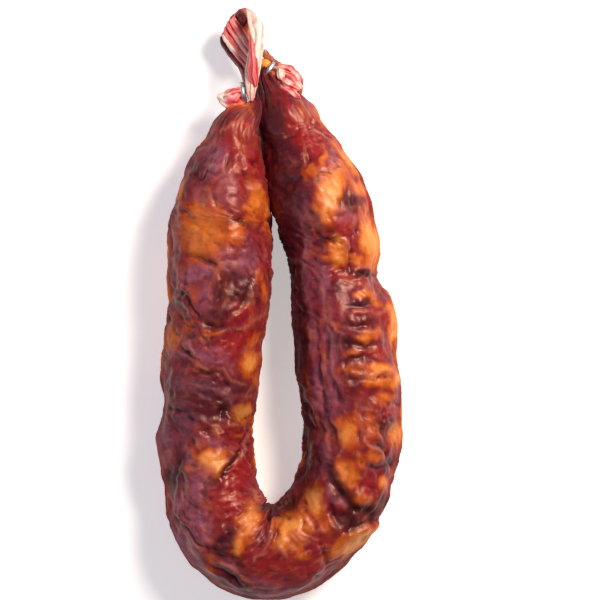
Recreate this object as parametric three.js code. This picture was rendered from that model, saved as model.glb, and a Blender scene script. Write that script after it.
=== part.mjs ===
import * as THREE from "three";

// A horseshoe of cured sausage lying flat, in millimetres. Both ends are gathered, clipped with soft wire,
// and joined by a strip of twisted dried casing that it hangs by. +Z is up and +Y runs towards that loop.
// The origin is on the resting surface, under the middle of the whole object.

// The filled body. Each station is [x, y, lift, radius] along the centreline, from the left neck down the left
// arm, round the bend and up the right arm to the right neck. Lift is the height of the underside: a little
// below zero where the soft meat is pressed flat by its weight. The left end lies over the edge of the right.
const BODY_STATIONS = [
  [-9.1, 67.9, 14.9, 1.6],
  [-8.7, 66.2, 14.9, 2.0],
  [-9.9, 63.2, 14.2, 3.9],
  [-14.0, 58.4, 12.2, 7.8],
  [-16.7, 51.0, 9.3, 11.0],
  [-18.8, 41.0, 4.5, 14.3],
  [-20.0, 28.5, 0.3, 16.7],
  [-20.2, 15.0, -0.5, 17.4],
  [-20.9, 0.0, -0.8, 16.9],
  [-22.7, -15.5, -0.8, 16.3],
  [-24.2, -31.5, -0.8, 15.7],
  [-24.7, -47.0, -0.8, 15.5],
  [-23.3, -61.5, -0.8, 15.7],
  [-18.2, -74.2, -0.8, 15.9],
  [-8.8, -82.2, -0.8, 15.5],
  [2.6, -82.4, -0.8, 15.3],
  [12.6, -75.3, -0.8, 15.3],
  [19.6, -64.6, -0.8, 15.8],
  [23.4, -51.5, -0.8, 16.1],
  [23.7, -36.0, -0.8, 16.4],
  [22.4, -20.0, -0.8, 16.8],
  [20.6, -5.0, -0.8, 16.8],
  [18.0, 8.5, -0.6, 15.6],
  [16.3, 21.0, -0.7, 15.9],
  [13.7, 33.5, -0.7, 16.0],
  [9.4, 45.5, -0.5, 14.2],
  [5.2, 55.4, 0.7, 11.2],
  [2.5, 62.6, 2.2, 8.7],
  [0.6, 68.4, 5.2, 6.2],
  [-0.7, 72.6, 8.3, 3.7],
  [-1.6, 75.0, 10.1, 2.3],
  [-2.1, 76.2, 10.8, 1.6],
];
const BODY_SIDES = 32;
const BODY_STEPS = 90;
const BODY_HEIGHT_SHARE = 0.97; // the section is a little lower than it is wide
const NECK_PLEATS = 8; // folds round each gathered end
const PLEAT_DEPTH = 0.1; // share of the radius
const PLEAT_REACH = 9; // the pleats fade out above this radius

// Meat and fat push the casing out at some places and it shrinks in at others: [x, y, z, height, spread].
const SWELLS = [
  [-36, 24, 20, 0.8, 9],
  [-37, 2.5, 18, -1.6, 3.5],
  [-38, -16, 18, 0.7, 8],
  [-40, -34, 16, -0.8, 4],
  [-40, -48, 16, 0.9, 7],
  [-33, 40, 18, -1.0, 4],
  [-22, 12, 33, -0.9, 6],
  [-24, -12, 32, 0.9, 7],
  [-22, -36, 30, -0.8, 6],
  [-20, -56, 31, 0.9, 7],
  [-34, -74, 16, 0.6, 8],
  [-2, -74, 30, 1.2, 7],
  [15, -70, 31, -1.4, 5],
  [26, -80, 16, 0.7, 6],
  [34, -72, 14, -1.2, 4],
  [26, -44, 32, 0.9, 7],
  [39, -32, 16, 0.6, 7],
  [38, -18, 18, -0.7, 4],
  [37, -5, 18, 1.2, 6],
  [32, 9, 16, -1.5, 4.5],
  [33, 18, 17, 1.1, 6],
  [22, 10, 31, -0.9, 5],
  [20, 28, 31, 1.0, 7],
  [-20, 28, 33, 0.8, 8],
];

// The wire clips: the middle of the ring that each one closes round its neck, and the ring's axis.
const WIRE_RADIUS = 0.9;
const RING_RADIUS = 2.8; // to the middle of the wire
const RING_TURN = 320; // degrees that the bent wire goes round
const LEFT_CLIP = { middle: [-12.6, 69.7, 17.0], axis: [0.98, 0.18, 0], opensAt: 270 };
const RIGHT_CLIP = { middle: [-3.9, 77.6, 12.6], axis: [-0.85, 0.53, 0], opensAt: 270 };

// The strip of casing between the clips. Each station is [x, y, z], the direction across the strip, and its
// half width and half thickness. The upper strand rises from the left clip; the strip turns over at the top
// and the lower strand comes down behind it to the right clip.
const STRIP_STATIONS = [
  { at: [-9.1, 68.8, 19.4], across: [1, 0.1, 0], half: [1.2, 1.0] },
  { at: [-9.3, 72.2, 19.8], across: [1, 0.1, 0], half: [1.9, 1.4] },
  { at: [-9.4, 77.0, 20.0], across: [1, 0, 0], half: [2.4, 1.5] },
  { at: [-8.7, 83.0, 20.5], across: [1, 0, 0], half: [2.4, 1.5] },
  { at: [-8.2, 89.0, 20.8], across: [1, 0, 0], half: [2.5, 1.3] },
  { at: [-8.8, 93.2, 19.8], across: [0.85, -0.5, 0], half: [3.2, 1.1] },
  { at: [-10.8, 95.6, 16.4], across: [0.76, -0.65, 0], half: [3.4, 1.1] },
  { at: [-13.6, 94.6, 11.9], across: [0.85, -0.4, 0], half: [3.6, 1.2] },
  { at: [-16.2, 91.4, 8.8], across: [0.95, 0.1, 0], half: [3.7, 1.4] },
  { at: [-15.6, 87.0, 8.0], across: [0.75, 0.6, 0], half: [3.7, 1.6] },
  { at: [-12.4, 83.6, 8.4], across: [0.55, 0.8, 0], half: [3.1, 1.7] },
  { at: [-8.8, 81.2, 9.4], across: [0.5, 0.85, 0], half: [2.3, 1.8] },
  { at: [-6.3, 79.2, 12.2], across: [0.5, 0.85, 0], half: [2.1, 2.0] },
  { at: [-4.3, 77.8, 12.6], across: [0.5, 0.85, 0], half: [1.3, 1.3] },
  { at: [-2.7, 76.9, 12.6], across: [0.5, 0.85, 0], half: [1.2, 1.2] },
];
const STRIP_SIDES = 16;
const STRIP_STEPS = 52;
const STRIP_RIBS = 5; // lengthwise folds over the strip's width
const STRIP_RIB_DEPTH = 0.12; // share of the half thickness

// The loose ends of casing beyond the clips, made as the strip is.
const LEFT_TAIL_STATIONS = [
  { at: [-11.1, 69.9, 16.9], across: [-0.2, 0.9, 0], half: [1.3, 1.3] },
  { at: [-12.9, 69.6, 17.1], across: [-0.2, 0.9, 0], half: [1.3, 1.3] },
  { at: [-15.0, 69.2, 18.5], across: [-0.3, 0.9, 0], half: [2.1, 1.8] },
  { at: [-16.8, 68.6, 20.2], across: [-0.3, 0.9, 0], half: [2.8, 2.2] },
  { at: [-19.4, 67.4, 22.0], across: [-0.3, 0.9, 0], half: [3.3, 2.5] },
];
const RIGHT_TAIL_STATIONS = [
  { at: [-1.3, 76.6, 15.2], across: [0.4, 0.9, 0], half: [1.1, 0.9] },
  { at: [0.8, 76.0, 16.0], across: [0.4, 0.9, 0], half: [1.9, 1.4] },
  { at: [3.2, 74.6, 17.6], across: [0.6, 0.8, 0], half: [2.7, 1.9] },
  { at: [4.9, 72.4, 18.6], across: [0.8, 0.5, 0], half: [3.1, 2.1] },
  { at: [5.7, 69.4, 19.2], across: [0.95, 0.2, 0], half: [2.7, 1.9] },
];
const TAIL_SIDES = 18;
const TAIL_STEPS = 14;
const TAIL_FRILLS = 6; // gathers round a loose end

const CASING = new THREE.MeshStandardMaterial({ color: 0x7a2a26, roughness: 0.4, metalness: 0 });
const DRIED_GUT = new THREE.MeshStandardMaterial({ color: 0xd9a792, roughness: 0.45, metalness: 0 });
const SOFT_WIRE = new THREE.MeshStandardMaterial({ color: 0xb9c0cc, roughness: 0.35, metalness: 1 });

const UP = new THREE.Vector3(0, 0, 1);

// A smooth curve of points or directions. Every curve of one piece has as many stations, so all of them
// are at the same place along it for the same share.
function curveThrough(triples) {
  const points = triples.map((triple) => new THREE.Vector3(...triple));
  return new THREE.CatmullRomCurve3(points, false, "catmullrom", 0.5);
}

// Bends a closed cylinder of radius 1 so that its height follows a piece: sectionAt(share, angle) gives the
// point of the skin there, and middleAt(share) the centre of an end cap.
function bendCylinder(sides, steps, middleAt, sectionAt) {
  const geometry = new THREE.CylinderGeometry(1, 1, 1, sides, steps);
  const position = geometry.attributes.position;
  const corner = new THREE.Vector3();
  for (let i = 0; i < position.count; i += 1) {
    corner.fromBufferAttribute(position, i);
    const share = THREE.MathUtils.clamp(0.5 - corner.y, 0, 1);
    const onAxis = Math.hypot(corner.x, corner.z) < 0.5;
    const angle = Math.atan2(corner.z, corner.x);
    const moved = onAxis ? middleAt(share) : sectionAt(share, angle);
    position.setXYZ(i, moved.x, moved.y, moved.z);
  }
  geometry.computeVertexNormals();
  return geometry;
}

// The body's skin: a lying oval section, gathered in pleats at the necks and pressed flat where it rests.
function bodyGeometry() {
  const centreline = curveThrough(BODY_STATIONS.map(([x, y, lift, radius]) => {
    return [x, y, lift + BODY_HEIGHT_SHARE * radius];
  }));
  const radii = curveThrough(BODY_STATIONS.map((station) => [station[3], 0, 0]));
  const swells = SWELLS.map(([x, y, z, height, spread]) => ({ at: new THREE.Vector3(x, y, z), height, spread }));

  function sectionAt(share, angle) {
    const middle = centreline.getPoint(share);
    const radius = radii.getPoint(share).x;
    const along = centreline.getTangent(share);
    const side = UP.clone().cross(along).normalize();
    const rise = along.clone().cross(side);
    const gathered = THREE.MathUtils.clamp(1 - radius / PLEAT_REACH, 0, 1);
    const pleated = radius * (1 + PLEAT_DEPTH * gathered * Math.cos(NECK_PLEATS * angle));
    const outward = side.multiplyScalar(Math.cos(angle));
    outward.addScaledVector(rise, BODY_HEIGHT_SHARE * Math.sin(angle));
    const skin = middle.clone().addScaledVector(outward, pleated);
    let swell = 0;
    for (const { at, height, spread } of swells) {
      swell += height * Math.exp(-skin.distanceToSquared(at) / (2 * spread * spread));
    }
    skin.addScaledVector(outward, swell);
    skin.z = Math.max(skin.z, 0);
    return skin;
  }

  return bendCylinder(BODY_SIDES, BODY_STEPS, (share) => centreline.getPoint(share), sectionAt);
}

// A strip or tail of casing: an oval section with ribs, turned so that its width lies across the piece.
function casingGeometry(stations, sides, steps, ribs, ribDepth, frillDepth) {
  const centreline = curveThrough(stations.map((station) => station.at));
  const acrosses = curveThrough(stations.map((station) => station.across));
  const halves = curveThrough(stations.map((station) => [...station.half, 0]));

  function sectionAt(share, angle) {
    const along = centreline.getTangent(share);
    const across = acrosses.getPoint(share);
    across.addScaledVector(along, -across.dot(along)).normalize();
    const thick = along.clone().cross(across);
    const half = halves.getPoint(share);
    const rib = 1 + (ribDepth + frillDepth * share * share) * Math.cos(2 * ribs * angle);
    return centreline
      .getPoint(share)
      .addScaledVector(across, half.x * Math.cos(angle) * rib)
      .addScaledVector(thick, half.y * Math.sin(angle) * rib);
  }

  return bendCylinder(sides, steps, (share) => centreline.getPoint(share), sectionAt);
}

// A clip: a round wire bent into a ring that stops short of closing under the neck.
function clipGeometry({ middle, axis, opensAt }) {
  const axle = new THREE.Vector3(...axis).normalize();
  const side = UP.clone().cross(axle).normalize();
  const rise = axle.clone().cross(side);
  const sides = 10;
  const steps = 34;

  function directionAt(share) {
    const turn = THREE.MathUtils.degToRad(opensAt + (share - 0.5) * RING_TURN + 180);
    return side.clone().multiplyScalar(Math.cos(turn)).addScaledVector(rise, Math.sin(turn));
  }

  function middleAt(share) {
    return new THREE.Vector3(...middle).addScaledVector(directionAt(share), RING_RADIUS);
  }

  function sectionAt(share, angle) {
    const outward = directionAt(share);
    return middleAt(share)
      .addScaledVector(outward, WIRE_RADIUS * Math.cos(angle))
      .addScaledVector(axle, -WIRE_RADIUS * Math.sin(angle));
  }

  return bendCylinder(sides, steps, middleAt, sectionAt);
}

function piece(name, geometry, material) {
  const mesh = new THREE.Mesh(geometry, material);
  mesh.name = name;
  return mesh;
}

const stripGeometry = casingGeometry(STRIP_STATIONS, STRIP_SIDES, STRIP_STEPS, STRIP_RIBS, STRIP_RIB_DEPTH, 0);
const leftTail = casingGeometry(LEFT_TAIL_STATIONS, TAIL_SIDES, TAIL_STEPS, TAIL_FRILLS / 2, 0, 0.14);
const rightTail = casingGeometry(RIGHT_TAIL_STATIONS, TAIL_SIDES, TAIL_STEPS, TAIL_FRILLS / 2, 0, 0.14);

const sausage = new THREE.Group();
sausage.add(piece("sausage_body", bodyGeometry(), CASING));
sausage.add(piece("hanging_loop", stripGeometry, DRIED_GUT));
sausage.add(piece("left_clip", clipGeometry(LEFT_CLIP), SOFT_WIRE));
sausage.add(piece("right_clip", clipGeometry(RIGHT_CLIP), SOFT_WIRE));
sausage.add(piece("left_casing_tail", leftTail, DRIED_GUT));
sausage.add(piece("right_casing_tail", rightTail, DRIED_GUT));

const extent = new THREE.Box3().setFromObject(sausage);
const middleOfAll = extent.getCenter(new THREE.Vector3());
sausage.position.set(-middleOfAll.x, -middleOfAll.y, -extent.min.z);

export default sausage;
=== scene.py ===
import math
from functools import partial

import bmesh
import bpy
import numpy as np
from bpy.props import FloatProperty, FloatVectorProperty, IntProperty, PointerProperty
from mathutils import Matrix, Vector, kdtree, noise


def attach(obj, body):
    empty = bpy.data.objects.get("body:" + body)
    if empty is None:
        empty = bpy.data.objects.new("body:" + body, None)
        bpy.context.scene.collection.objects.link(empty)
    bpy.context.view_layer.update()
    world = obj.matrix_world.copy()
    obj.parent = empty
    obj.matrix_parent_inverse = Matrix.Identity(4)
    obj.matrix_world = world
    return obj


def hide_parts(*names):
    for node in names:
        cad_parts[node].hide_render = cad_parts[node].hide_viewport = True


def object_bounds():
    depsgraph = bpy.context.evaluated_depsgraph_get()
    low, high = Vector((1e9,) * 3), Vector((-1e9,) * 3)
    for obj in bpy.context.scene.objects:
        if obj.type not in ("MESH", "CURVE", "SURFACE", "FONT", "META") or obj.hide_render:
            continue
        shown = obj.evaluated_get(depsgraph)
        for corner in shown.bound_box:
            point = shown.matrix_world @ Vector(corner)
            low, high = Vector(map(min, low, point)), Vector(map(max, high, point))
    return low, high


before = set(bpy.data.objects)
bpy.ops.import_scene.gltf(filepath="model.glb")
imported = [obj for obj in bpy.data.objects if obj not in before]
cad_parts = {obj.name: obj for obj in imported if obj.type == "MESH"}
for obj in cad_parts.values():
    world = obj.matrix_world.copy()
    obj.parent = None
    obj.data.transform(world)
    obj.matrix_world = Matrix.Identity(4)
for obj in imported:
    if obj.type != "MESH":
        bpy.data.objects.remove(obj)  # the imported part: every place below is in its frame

bl_info = {
    "name": "Cured sausage",
    "version": (1, 0, 0),
    "blender": (4, 5, 0),
    "location": "3D View > Sidebar > Sausage",
    "description": "Makes a horseshoe of cured sausage with its clips, hanging loop and casing ends",
    "category": "Add Mesh",
}

CAD_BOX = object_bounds()
ROOT_BODY = "root"
MM = 0.001

# The part's origin lies under the middle of its box. The places below are measured, in mm, from a point
# that is this far from it.
CENTRING = np.array([0.233, 0.135, 0.0])

# ---------------------------------------------------------------------------------------------------------
# The filled body: its centreline from the left neck round the bend to the right neck, close to the part's.
# Each station is x, y, lift of the underside and radius.

BODY_STATIONS = [
    (-9.1, 67.9, 14.9, 1.6), (-8.7, 66.2, 14.9, 2.0), (-10.1, 62.8, 14.4, 3.5), (-14.0, 58.3, 12.2, 7.4),
    (-16.0, 51.0, 9.3, 9.7), (-18.6, 41.0, 4.5, 13.9), (-19.8, 28.5, 0.3, 16.0), (-20.1, 15.0, -0.5, 17.1),
    (-20.8, 0.0, -0.8, 16.5), (-22.7, -15.5, -0.8, 15.7), (-24.2, -31.5, -0.8, 15.2),
    (-24.9, -47.0, -0.8, 14.9), (-23.1, -61.8, -0.8, 15.2), (-18.8, -74.8, -0.8, 15.9),
    (-9.6, -82.6, -0.8, 15.6), (2.2, -82.5, -0.8, 15.2), (11.9, -75.5, -0.8, 14.8),
    (19.1, -64.9, -0.8, 15.3), (23.1, -51.5, -0.8, 15.6), (23.5, -36.0, -0.8, 16.0),
    (22.2, -20.0, -0.8, 16.5), (20.4, -5.0, -0.8, 16.2), (17.9, 8.5, -0.6, 14.7), (16.2, 21.0, -0.7, 15.0),
    (12.9, 33.5, -0.7, 15.9), (7.6, 45.5, -0.5, 13.9), (3.2, 55.4, 0.7, 10.9), (0.6, 62.6, 2.2, 9.9),
    (-1.5, 68.4, 5.0, 7.0), (-3.0, 72.6, 7.4, 5.1), (-4.3, 75.4, 9.0, 3.9), (-4.9, 77.3, 10.6, 2.5),
    (-4.6, 78.4, 11.2, 1.6),
]
BODY_HEIGHT_SHARE = 0.97  # the section is a little lower than it is wide

# Broad swells and shrunken places of the body: x, y, z, height, spread.
SWELLS = [
    (-36, 24, 20, 0.8, 9), (-37, 2.5, 18, -1.6, 3.5), (-38, -16, 18, 0.7, 8), (-40, -34, 16, -0.8, 4),
    (-40, -48, 16, 0.9, 7), (-33, 40, 18, -1.0, 4), (-22, 12, 33, -0.9, 6), (-24, -12, 32, 0.9, 7),
    (-22, -36, 30, -0.8, 6), (-20, -56, 31, 0.9, 7), (-34, -74, 16, 0.6, 8), (-2, -74, 30, 1.2, 7),
    (15, -70, 31, -1.4, 5), (26, -80, 16, 0.7, 6), (34, -72, 14, -1.2, 4), (26, -44, 32, 0.9, 7),
    (39, -32, 16, 0.6, 7), (38, -18, 18, -0.7, 4), (37, -5, 18, 1.2, 6), (32, 9, 16, -1.5, 4.5),
    (33, 18, 17, 1.1, 6), (22, 10, 31, -0.9, 5), (20, 28, 31, 1.0, 7), (-20, 28, 33, 0.8, 8),
]

# Patches that show on the upper side: x, y, half length, half width, turn of the long side in degrees from
# +X, amount. Fat and red lean show through the casing, dry is where the casing itself has dried dull and
# carries a painted mauve sheen, and dark is partly shrunken dark meat and partly painted shade on the sides
# that face away from the key light.
FAT_PATCHES = [
    # left arm, from the neck down
    (-10.8, 63.5, 1.8, 1.3, 90, 0.5), (-12.5, 51.5, 4.0, 2.0, 100, 0.4), (-33.5, 36.5, 3.2, 1.3, 80, 0.85),
    (-8.0, 33.5, 5.6, 3.3, 100, 0.8), (-9.5, 28.0, 3.5, 2.2, 60, 0.65), (-4.6, 27.5, 4.5, 1.3, 95, 0.6),
    (-25.5, 23.5, 9.5, 8.0, 100, 0.76), (-21.5, 12.5, 5.0, 2.2, 105, 0.62),
    (-15.5, 22.5, 5.0, 3.2, 30, 0.62), (-3.4, 21.0, 2.8, 1.1, 100, 0.3), (-6.3, 8.5, 2.2, 1.0, 80, 0.55),
    (-5.6, 3.0, 3.4, 1.2, 92, 0.7), (-28.5, 2.0, 4.0, 1.8, 100, 0.42), (-17.3, 2.5, 3.2, 0.9, 100, 0.45),
    (-5.3, -8.0, 4.5, 1.0, 80, 0.5), (-8.6, -12.5, 4.0, 1.4, 60, 0.55), (-22.0, -10.6, 3.4, 1.3, 10, 0.55),
    (-35.8, -12.0, 4.8, 2.4, 95, 0.68), (-31.5, -9.0, 4.0, 2.2, 30, 0.45),
    (-26.5, -21.0, 5.0, 0.9, 155, 0.5), (-10.2, -20.5, 4.0, 3.0, 60, 0.98),
    (-8.0, -25.5, 3.6, 0.9, 80, 0.6), (-12.2, -36.4, 3.3, 2.6, 5, 1.0), (-9.6, -40.5, 2.4, 0.9, 90, 0.6),
    (-20.6, -42.5, 2.2, 1.2, 110, 0.5), (-14.2, -44.2, 1.5, 0.9, 30, 0.55),
    (-25.5, -47.0, 2.2, 1.4, 120, 0.45), (-28.3, -49.5, 3.6, 1.0, 105, 0.5),
    (-22.3, -52.4, 5.0, 3.4, 20, 1.0), (-21.8, -56.0, 2.4, 1.8, 90, 0.85),
    (-31.2, -55.2, 2.0, 1.8, 90, 0.65), (-8.5, -63.5, 2.6, 1.2, 110, 0.65),
    (-10.2, -72.5, 8.2, 3.0, 64, 0.85), (-13.6, -80.5, 4.0, 1.8, 62, 0.92),
    (-22.3, -85.2, 2.4, 1.5, 150, 0.7), (-23.6, -88.4, 1.8, 0.9, 120, 0.6),
    # the bend
    (3.6, -73.2, 5.2, 4.6, 20, 1.0), (0.8, -77.5, 3.6, 2.4, 80, 0.92), (6.0, -81.5, 4.0, 2.2, 140, 0.6),
    (10.6, -65.8, 4.8, 3.0, 110, 0.98), (15.0, -73.0, 5.6, 3.0, 118, 0.45),
    (24.5, -78.8, 8.8, 2.7, 31, 0.98), (18.0, -82.2, 3.0, 2.0, 60, 0.75),
    # right arm, from the bend up
    (27.0, -64.6, 4.0, 2.4, 170, 0.6), (34.0, -60.0, 2.4, 1.4, 80, 0.8), (21.5, -56.5, 4.6, 3.2, 110, 0.78),
    (31.2, -50.6, 3.6, 1.7, 15, 0.65), (22.0, -43.6, 4.8, 3.0, 100, 0.85),
    (30.2, -41.0, 5.2, 3.2, 105, 0.52), (26.5, -46.5, 4.0, 2.4, 20, 0.4), (26.0, -53.0, 3.0, 2.0, 100, 0.5),
    (38.0, -44.0, 4.0, 2.2, 80, 0.85), (24.2, -38.6, 3.0, 2.2, 80, 0.55), (33.6, -32.2, 2.8, 1.8, 10, 0.65),
    (32.0, -26.8, 5.5, 1.8, 175, 0.75), (37.8, -24.6, 3.2, 1.8, 70, 1.0), (33.2, -22.0, 5.0, 1.9, 8, 0.95),
    (23.0, -22.2, 3.8, 1.4, 15, 0.6), (9.4, -27.0, 4.4, 1.2, 92, 0.55), (24.6, -16.4, 2.8, 1.2, 15, 0.55),
    (27.8, -11.6, 2.8, 2.2, 150, 0.85), (31.5, -10.2, 2.2, 1.2, 20, 0.55), (9.0, -10.0, 3.2, 0.9, 95, 0.4),
    (17.4, -7.8, 1.6, 1.0, 130, 0.55), (37.2, -6.5, 7.2, 1.8, 93, 1.0), (28.0, 2.2, 2.8, 1.5, 20, 0.8),
    (31.4, 0.6, 2.2, 1.6, 150, 0.8), (25.5, 13.0, 3.4, 2.0, 170, 0.7), (19.6, 14.6, 3.6, 3.2, 90, 0.88),
    (14.8, 14.6, 3.0, 1.2, 170, 0.55), (20.6, 19.0, 3.6, 1.7, 115, 0.85), (9.0, 17.0, 2.6, 1.4, 100, 0.4),
    (29.2, 20.5, 8.6, 2.7, 100, 1.0), (17.4, 36.0, 9.2, 3.8, 70, 1.0), (26.6, 38.0, 3.2, 2.4, 150, 0.8),
    (3.2, 37.0, 2.6, 1.4, 80, 0.35), (7.2, 42.0, 3.2, 1.0, 95, 0.5), (2.6, 43.0, 2.0, 1.0, 90, 0.3),
    (24.6, 43.8, 2.2, 1.3, 120, 0.85), (11.0, 44.2, 2.0, 1.6, 60, 0.65), (22.6, 47.4, 3.2, 1.5, 130, 0.9),
    (14.3, 48.5, 4.0, 1.0, 95, 0.75), (18.6, 51.6, 3.0, 1.5, 130, 0.55), (7.6, 64.2, 3.8, 1.1, 125, 0.4),
]
RED_PATCHES = [
    (-20.5, 54.5, 4.5, 3.0, 20, 0.8), (-13.5, 56.5, 8.0, 3.5, 95, 0.95), (-8.0, 45.0, 8.5, 3.8, 95, 1.0),
    (-11.5, 38.5, 4.2, 4.0, 0, 0.85), (-31.5, 27.0, 9.0, 3.0, 95, 0.6), (-4.8, 14.5, 4.0, 2.0, 95, 0.6),
    (-13.5, -4.5, 5.0, 2.2, 50, 0.85), (-14.0, -12.5, 10.0, 2.8, 28, 0.85),
    (-15.0, -17.5, 6.0, 2.0, 30, 0.5), (-17.0, -43.0, 5.5, 2.6, 10, 0.75),
    (-12.8, -56.0, 9.0, 3.6, 78, 0.9), (-15.0, -66.0, 6.5, 6.0, 60, 1.0),
    (-13.5, -73.0, 4.0, 1.8, 64, 0.85), (-9.0, -82.5, 3.0, 2.5, 30, 0.75), (-2.0, -86.5, 8.0, 4.5, 0, 0.75),
    (10.0, -84.0, 5.0, 3.5, 20, 0.8), (12.5, -78.5, 3.0, 2.5, 30, 0.7), (18.5, -67.5, 5.0, 2.8, 120, 0.85),
    (28.0, -60.5, 4.5, 2.6, 10, 0.85), (23.5, -49.5, 4.0, 3.0, 100, 0.85), (37.5, -37.0, 3.0, 2.5, 0, 0.85),
    (34.0, -29.5, 4.0, 2.0, 10, 0.7), (31.0, -17.5, 4.0, 2.0, 20, 0.85), (26.0, -5.0, 5.0, 2.2, 5, 0.85),
    (33.5, -5.5, 3.0, 2.8, 60, 0.9), (22.5, 7.5, 5.0, 2.0, 170, 0.75), (25.5, 19.0, 3.0, 2.0, 95, 0.75),
    (22.0, 27.0, 5.0, 3.5, 100, 0.85), (12.5, 24.0, 3.5, 2.0, 150, 0.55), (28.5, 34.0, 2.5, 2.0, 90, 0.75),
    (11.5, 52.5, 5.0, 2.5, 100, 0.85), (13.0, 58.0, 5.0, 2.5, 130, 0.75), (3.8, 61.5, 7.0, 2.2, 118, 1.0),
    (6.8, 56.0, 7.0, 2.6, 112, 0.9),
]
# The dry patches make the casing duller and carry a painted mauve sheen.
DRY_AND_SHEEN_PATCHES = [
    (-22.0, 47.0, 5.0, 4.0, 80, 0.85), (-26.0, 33.5, 4.5, 2.0, 140, 0.45),
    (-18.0, 35.0, 6.0, 2.5, 100, 0.5), (-27.5, 9.8, 5.0, 2.6, 20, 0.95), (-17.0, 12.8, 4.0, 3.0, 0, 0.75),
    (-10.5, 12.5, 4.0, 4.0, 0, 0.55), (-24.5, 1.0, 4.0, 2.6, 95, 0.55), (-28.0, -17.0, 4.6, 1.5, 125, 0.95),
    (-33.5, -17.0, 3.0, 1.2, 160, 0.65), (-23.5, -18.0, 4.5, 2.2, 170, 0.75),
    (-27.0, -28.0, 9.0, 1.8, 170, 0.8), (-17.5, -31.5, 5.0, 1.8, 140, 0.65),
    (-32.0, -38.0, 6.5, 2.6, 95, 0.65), (-23.0, -46.0, 2.6, 1.4, 160, 0.65),
    (-38.0, -47.0, 5.5, 2.0, 95, 0.65), (-30.0, -51.5, 4.0, 1.4, 100, 0.85),
    (-28.5, -60.0, 5.0, 3.4, 60, 0.85), (-33.0, -65.0, 5.0, 2.2, 80, 0.85),
    (-28.5, -70.0, 5.5, 2.6, 80, 0.85), (-25.0, -76.5, 4.0, 1.3, 80, 0.85),
    (-30.5, -81.0, 6.0, 4.5, 125, 0.65), (-16.5, -89.0, 5.0, 1.2, 145, 0.75),
    (-5.0, -95.0, 9.0, 2.5, 175, 0.6), (18.5, -64.5, 4.0, 1.0, 130, 0.85),
    (14.5, -49.0, 8.0, 1.0, 100, 0.45), (16.8, -33.5, 4.0, 2.4, 100, 0.55),
    (13.2, -30.0, 6.0, 2.0, 95, 0.65), (16.0, -15.0, 9.0, 1.8, 95, 0.75), (9.8, -8.0, 9.0, 1.0, 95, 0.5),
    (8.5, 4.0, 8.0, 1.2, 95, 0.55), (14.0, 7.0, 5.0, 2.4, 100, 0.55), (7.5, 20.0, 9.0, 1.6, 95, 0.65),
    (10.5, 28.0, 5.0, 1.6, 115, 0.55), (22.5, 29.0, 3.0, 2.0, 0, 0.55), (18.0, 47.0, 4.0, 1.6, 110, 0.75),
    (9.5, 66.0, 3.5, 1.4, 125, 0.75),
]
DARK_AND_SHADE_PATCHES = [
    # The first three are painted shade on the far side and the left side of the left arm's shoulder.
    (-18.5, 61.0, 5.0, 1.6, 15, 0.7), (-27.5, 44.5, 6.5, 1.8, 60, 0.6), (-31.0, 38.5, 3.5, 1.8, 70, 0.5),
    (-13.5, 25.5, 5.0, 1.5, 170, 0.65), (-15.2, 8.0, 4.0, 2.4, 0, 0.75), (-12.0, 7.5, 1.6, 1.2, 0, 0.9),
    (-19.5, 4.0, 4.5, 1.8, 95, 0.8), (-14.5, 3.5, 4.5, 2.6, 0, 0.9), (-33.5, 0.0, 3.0, 2.0, 120, 0.6),
    (-20.5, -5.5, 4.0, 2.5, 20, 0.7), (-23.6, -23.2, 2.6, 1.0, 10, 0.9), (-24.0, -33.5, 12.0, 8.0, 0, 0.7),
    (-18.5, -35.6, 3.0, 2.4, 30, 1.0), (-33.5, -50.0, 4.0, 1.4, 80, 0.7),
    (-17.5, -53.5, 6.0, 1.3, 50, 0.85), (-36.0, -58.0, 4.0, 2.6, 30, 0.9),
    (-19.0, -79.5, 4.5, 2.6, 85, 0.7), (-15.0, -85.5, 2.5, 1.6, 110, 0.8),
    (-14.5, -92.5, 6.0, 1.3, 140, 0.85), (-2.0, -69.0, 4.5, 2.4, 0, 1.0), (3.5, -66.5, 5.0, 2.2, 50, 1.0),
    (23.0, -72.0, 4.4, 3.6, 60, 1.0), (28.5, -68.8, 5.0, 2.2, 15, 1.0), (18.5, -60.5, 8.0, 2.0, 123, 0.9),
    (33.5, -67.0, 3.0, 2.4, 60, 0.8), (36.8, -52.8, 2.6, 1.6, 10, 0.85), (35.0, -40.5, 3.5, 2.6, 30, 0.5),
    (34.0, -46.0, 2.6, 1.6, 60, 0.4), (22.5, -27.5, 4.0, 2.6, 90, 0.6), (25.0, -18.6, 4.0, 0.9, 10, 0.65),
    (20.0, 5.0, 3.0, 2.2, 0, 0.6), (24.0, -13.2, 5.0, 1.4, 170, 0.85), (25.5, -7.2, 5.0, 1.2, 5, 0.75),
    (27.0, -1.2, 3.6, 1.0, 5, 0.7), (28.0, 9.4, 4.0, 0.9, 0, 0.9), (15.0, 19.5, 4.0, 1.6, 20, 0.65),
    # The last patch on this line and those on the next two lines make a long band down the right arm's inner
    # side: painted shade where that side faces away from the key light.
    (11.5, 27.0, 5.0, 1.2, 115, 0.6), (24.0, 32.8, 3.2, 1.4, 10, 0.9), (-3.0, 55.0, 18.0, 4.2, 99, 0.9),
    (2.0, 36.0, 14.0, 4.5, 97, 0.85), (2.8, 15.0, 14.0, 2.4, 95, 0.9), (5.8, -10.0, 20.0, 1.9, 90, 0.95),
    (8.6, -38.0, 18.0, 1.8, 93, 0.85), (9.5, -55.0, 10.0, 3.5, 80, 0.75),
]

# Places where the casing has sunk: x, y, depth, spread.
DENTS = [
    (23.5, -71.5, 2.4, 3.8), (29.5, -69.5, 1.4, 3.0), (-18.5, -35.6, 0.7, 2.6), (24.0, 32.8, 0.7, 2.2),
    (-22.0, 47.0, 0.9, 4.0), (-15.0, 8.0, 0.5, 2.8), (36.8, -52.8, 0.6, 2.2), (-19.0, -79.5, 0.7, 2.8),
    (-36.0, -58.0, 0.8, 3.0),
]

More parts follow.
